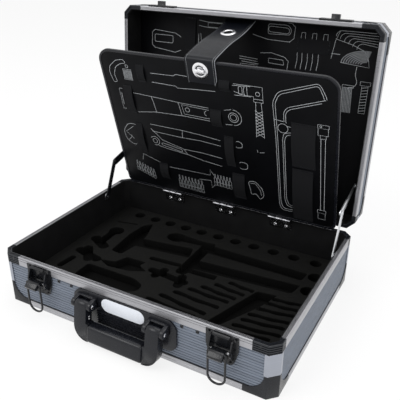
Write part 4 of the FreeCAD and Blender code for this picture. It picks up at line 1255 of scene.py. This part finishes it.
def strapThreads(route):
    size = strapSizes
    threads = bmesh.new()
    for index in range(2, len(route) - 1):
        here, after = route[index], route[index + 1]
        count = max(int((after - here).length / (3.4 * mm)), 1)
        tangent = (after - here).normalized()
        normal = Vector((0, -tangent.z, tangent.y))
        for step in range(count):
            spot = here + (after - here) * ((step + 0.3) / count)
            for side in (-1, 1):
                x = (size["x"] + side * (size["half"] - size["stitch"])) * mm
                for turn in (-1, 1):
                    foot = Vector((x, spot.y, spot.z)) + normal * turn * (size["wall"] / 2) * mm
                    wide = Vector((0.28 * mm, 0, 0))
                    run = tangent * 2 * mm
                    corners = [foot - wide, foot + wide, foot + wide + run, foot - wide + run]
                    extruded(threads, corners, normal * turn * 0.18 * mm)
    return threads


def strap():
    size = strapSizes
    route = strapRoute()
    length = sum((after - here).length for here, after in zip(route, route[1:]))
    made = piece("strap_band", strapBand(route, -size["half"], size["half"], size["wall"], 10), "strap_skin",
                 "tool_board", ("strap",), angle=60)
    stitching = piece("strap_stitching", strapThreads(route), "inkFill", "tool_board")
    # a pale strip along the strap's right edge only: a painted highlight
    highlightMesh = bmesh.new()
    joinMesh(highlightMesh, strapBand(route, size["half"] - 0.6, size["half"] + 0.1, 2.1, 1))
    trim = piece("strap_edge_highlight", highlightMesh, "edgeHighlight", "tool_board")
    axis = boardStand.to_3x3() @ Vector((0, 1, 0))
    anchor = boardStand @ (Vector((0, -6, 280)) * mm)
    for thing in (made, stitching, trim):
        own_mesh(thing)
    print("strap", round(length / mm), "mm long")
    return route, axis, anchor


def strapFittings():
    size = strapSizes
    route, axis, anchor = strap()
    target = Vector((0, size["eyelet"][1], size["eyelet"][2])) * mm
    nearest = min(range(len(route)), key=lambda index: (route[index] - target).length)
    normal = routeNormal(route, nearest)
    if normal.z < 0:
        normal = -normal
    middle = Vector((size["x"] * mm, route[nearest].y, route[nearest].z)) + normal * size["wall"] / 2 * mm
    ring = bmesh.new()
    bore = size["bore"]
    rim = size["ring"]
    spun(ring, [(bore, -0.1), (bore, 0.5), (bore + 0.9, 1.1), (rim - 3.4, 1.2), (rim - 1, 0.9), (rim, 0.2),
                (rim, -0.1), (bore, -0.1)], middle, normal, 32)
    # a dark disc filling the eyelet's bore: painted shade standing in for the hole
    hole = bmesh.new()
    spun(hole, [(0.0001, 0.12), (bore, 0.12), (bore, -0.1), (0.0001, -0.1)], middle, normal, 32)
    for name, mesh, finish, names in (("strap_eyelet_ring", ring, "chrome", ("strap_eyelet",)),
                                      ("strap_eyelet_hole_shade", hole, "lining", ())):
        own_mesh(piece(name, mesh, finish, "tool_board", names))
    out = boardStand.to_3x3() @ Vector((0, -1, 0))
    centre = boardStand @ (Vector((size["x"], -7.5, 264.8)) * mm)
    rim = size["washer"]
    washer = bmesh.new()
    spun(washer, [(0.0001, 0.3), (rim - 5.6, 0.3), (rim - 5, 0.9), (rim - 3.6, 1), (rim - 1.2, 0.9),
                  (rim - 0.1, 0.3), (rim - 0.1, 0), (0.0001, 0)], centre, out, 40)
    piece("turn_stud_washer", washer, "chrome", "tool_board", ("turn_stud_base",))
    # a dark ring on the washer at the foot of its raised rim: painted shade in the recess round the knob
    recessShade = bmesh.new()
    spun(recessShade, [(rim - 7, 0.2), (rim - 7, 0.55), (rim - 5.5, 0.55), (rim - 5.5, 0.2), (rim - 7, 0.2)],
         centre, out, 40)
    piece("turn_stud_recess_shade", recessShade, "dark_metal", "tool_board")
    softened("turn_stud", "chrome", 0.6, 3)
    softened("strap_anchor", "dark_metal", 0.3)


strapFittings()
print("strap ready")


# Floor, light and camera

def seenRays(tree):
    # 1 for what the camera sees straight, in metal or through glass
    path = tree.nodes.new("ShaderNodeLightPath")
    found = path.outputs["Is Camera Ray"]
    for name in ("Is Glossy Ray", "Is Transmission Ray"):
        larger = tree.nodes.new("ShaderNodeMath")
        larger.operation = "MAXIMUM"
        tree.links.new(found, larger.inputs[0])
        tree.links.new(path.outputs[name], larger.inputs[1])
        found = larger.outputs[0]
    return found


def stage():
    # the floor is seen lifted towards white, and its shadow stays
    size = dict(floor=6.0, color=(0.95, 0.95, 0.95), lift=0.8, around=0.7)
    floor = bmesh.new()
    bmesh.ops.create_grid(floor, x_segments=1, y_segments=1, size=size["floor"])
    data = bpy.data.meshes.new("floor")
    floor.to_mesh(data)
    floor.free()
    ground = linked("floor", data)
    ground.location.z = -0.0004
    material = bpy.data.materials.new("pale floor")
    material.use_nodes = True
    tree = material.node_tree
    shader = tree.nodes["Principled BSDF"]
    shader.inputs["Base Color"].default_value = (*size["color"], 1)
    shader.inputs["Roughness"].default_value = 0.9
    glow = tree.nodes.new("ShaderNodeEmission")
    share = tree.nodes.new("ShaderNodeMath")
    share.operation = "MULTIPLY"
    share.inputs[1].default_value = size["lift"]
    blend = tree.nodes.new("ShaderNodeMixShader")
    tree.links.new(seenRays(tree), share.inputs[0])
    tree.links.new(share.outputs[0], blend.inputs["Fac"])
    tree.links.new(shader.outputs[0], blend.inputs[1])
    tree.links.new(glow.outputs[0], blend.inputs[2])
    tree.links.new(blend.outputs[0], tree.nodes["Material Output"].inputs["Surface"])
    data.materials.append(material)
    world = bpy.data.worlds.new("studio")
    bpy.context.scene.world = world
    world.use_nodes = True
    nodesOf = world.node_tree.nodes
    linksOf = world.node_tree.links
    background = nodesOf["Background"]
    background.inputs["Color"].default_value = (1, 1, 1, 1)
    background.inputs["Strength"].default_value = size["around"]
    bright = nodesOf.new("ShaderNodeBackground")
    bright.inputs["Color"].default_value = (1, 1, 1, 1)
    bright.inputs["Strength"].default_value = 1.0
    mix = nodesOf.new("ShaderNodeMixShader")
    linksOf.new(seenRays(world.node_tree), mix.inputs["Fac"])
    linksOf.new(background.outputs["Background"], mix.inputs[1])
    linksOf.new(bright.outputs["Background"], mix.inputs[2])
    linksOf.new(mix.outputs["Shader"], nodesOf["World Output"].inputs["Surface"])


def lamp(name, place, target, size, power):
    data = bpy.data.lights.new(name, "AREA")
    data.shape = "RECTANGLE"
    data.size, data.size_y = size
    data.energy = power
    made = linked(name, data)
    made.location = place
    made.rotation_euler = (Vector(target) - Vector(place)).to_track_quat("-Z", "Y").to_euler()


def camera():
    # the photograph's view, fitted to the case's outlines
    view = dict(azimuth=28.959, elevation=26.247, roll=0.203, lens=50.24, sensor=36,
                place=(0.3972, -0.66081, 0.5409))
    azimuth, elevation, roll = (radians(view[key]) for key in ("azimuth", "elevation", "roll"))
    forward = Vector((-sin(azimuth) * cos(elevation), cos(azimuth) * cos(elevation), -sin(elevation)))
    right = Vector((cos(azimuth), sin(azimuth), 0))
    up = right.cross(forward)
    rightTurned = right * cos(roll) + up * sin(roll)
    upTurned = up * cos(roll) - right * sin(roll)
    data = bpy.data.cameras.new("view")
    data.lens = view["lens"]
    data.sensor_width = view["sensor"]
    data.sensor_fit = "HORIZONTAL"
    made = linked("view", data)
    turn = Matrix((rightTurned, upTurned, -forward)).transposed()
    made.matrix_world = Matrix.Translation(view["place"]) @ turn.to_4x4()
    bpy.context.scene.camera = made


stage()
lamp("key", (-1.2, -1.5, 2.2), (0, 0.05, 0.1), (1.6, 1.6), 28)
lamp("fill", (1.9, -1.2, 1.4), (0, 0.05, 0.1), (1.4, 1.4), 12)
lamp("top", (0.1, 0.5, 2.4), (0, 0.1, 0), (1.8, 1.2), 14)
camera()
bpy.context.scene.view_settings.view_transform = "Standard"
print("scene ready")
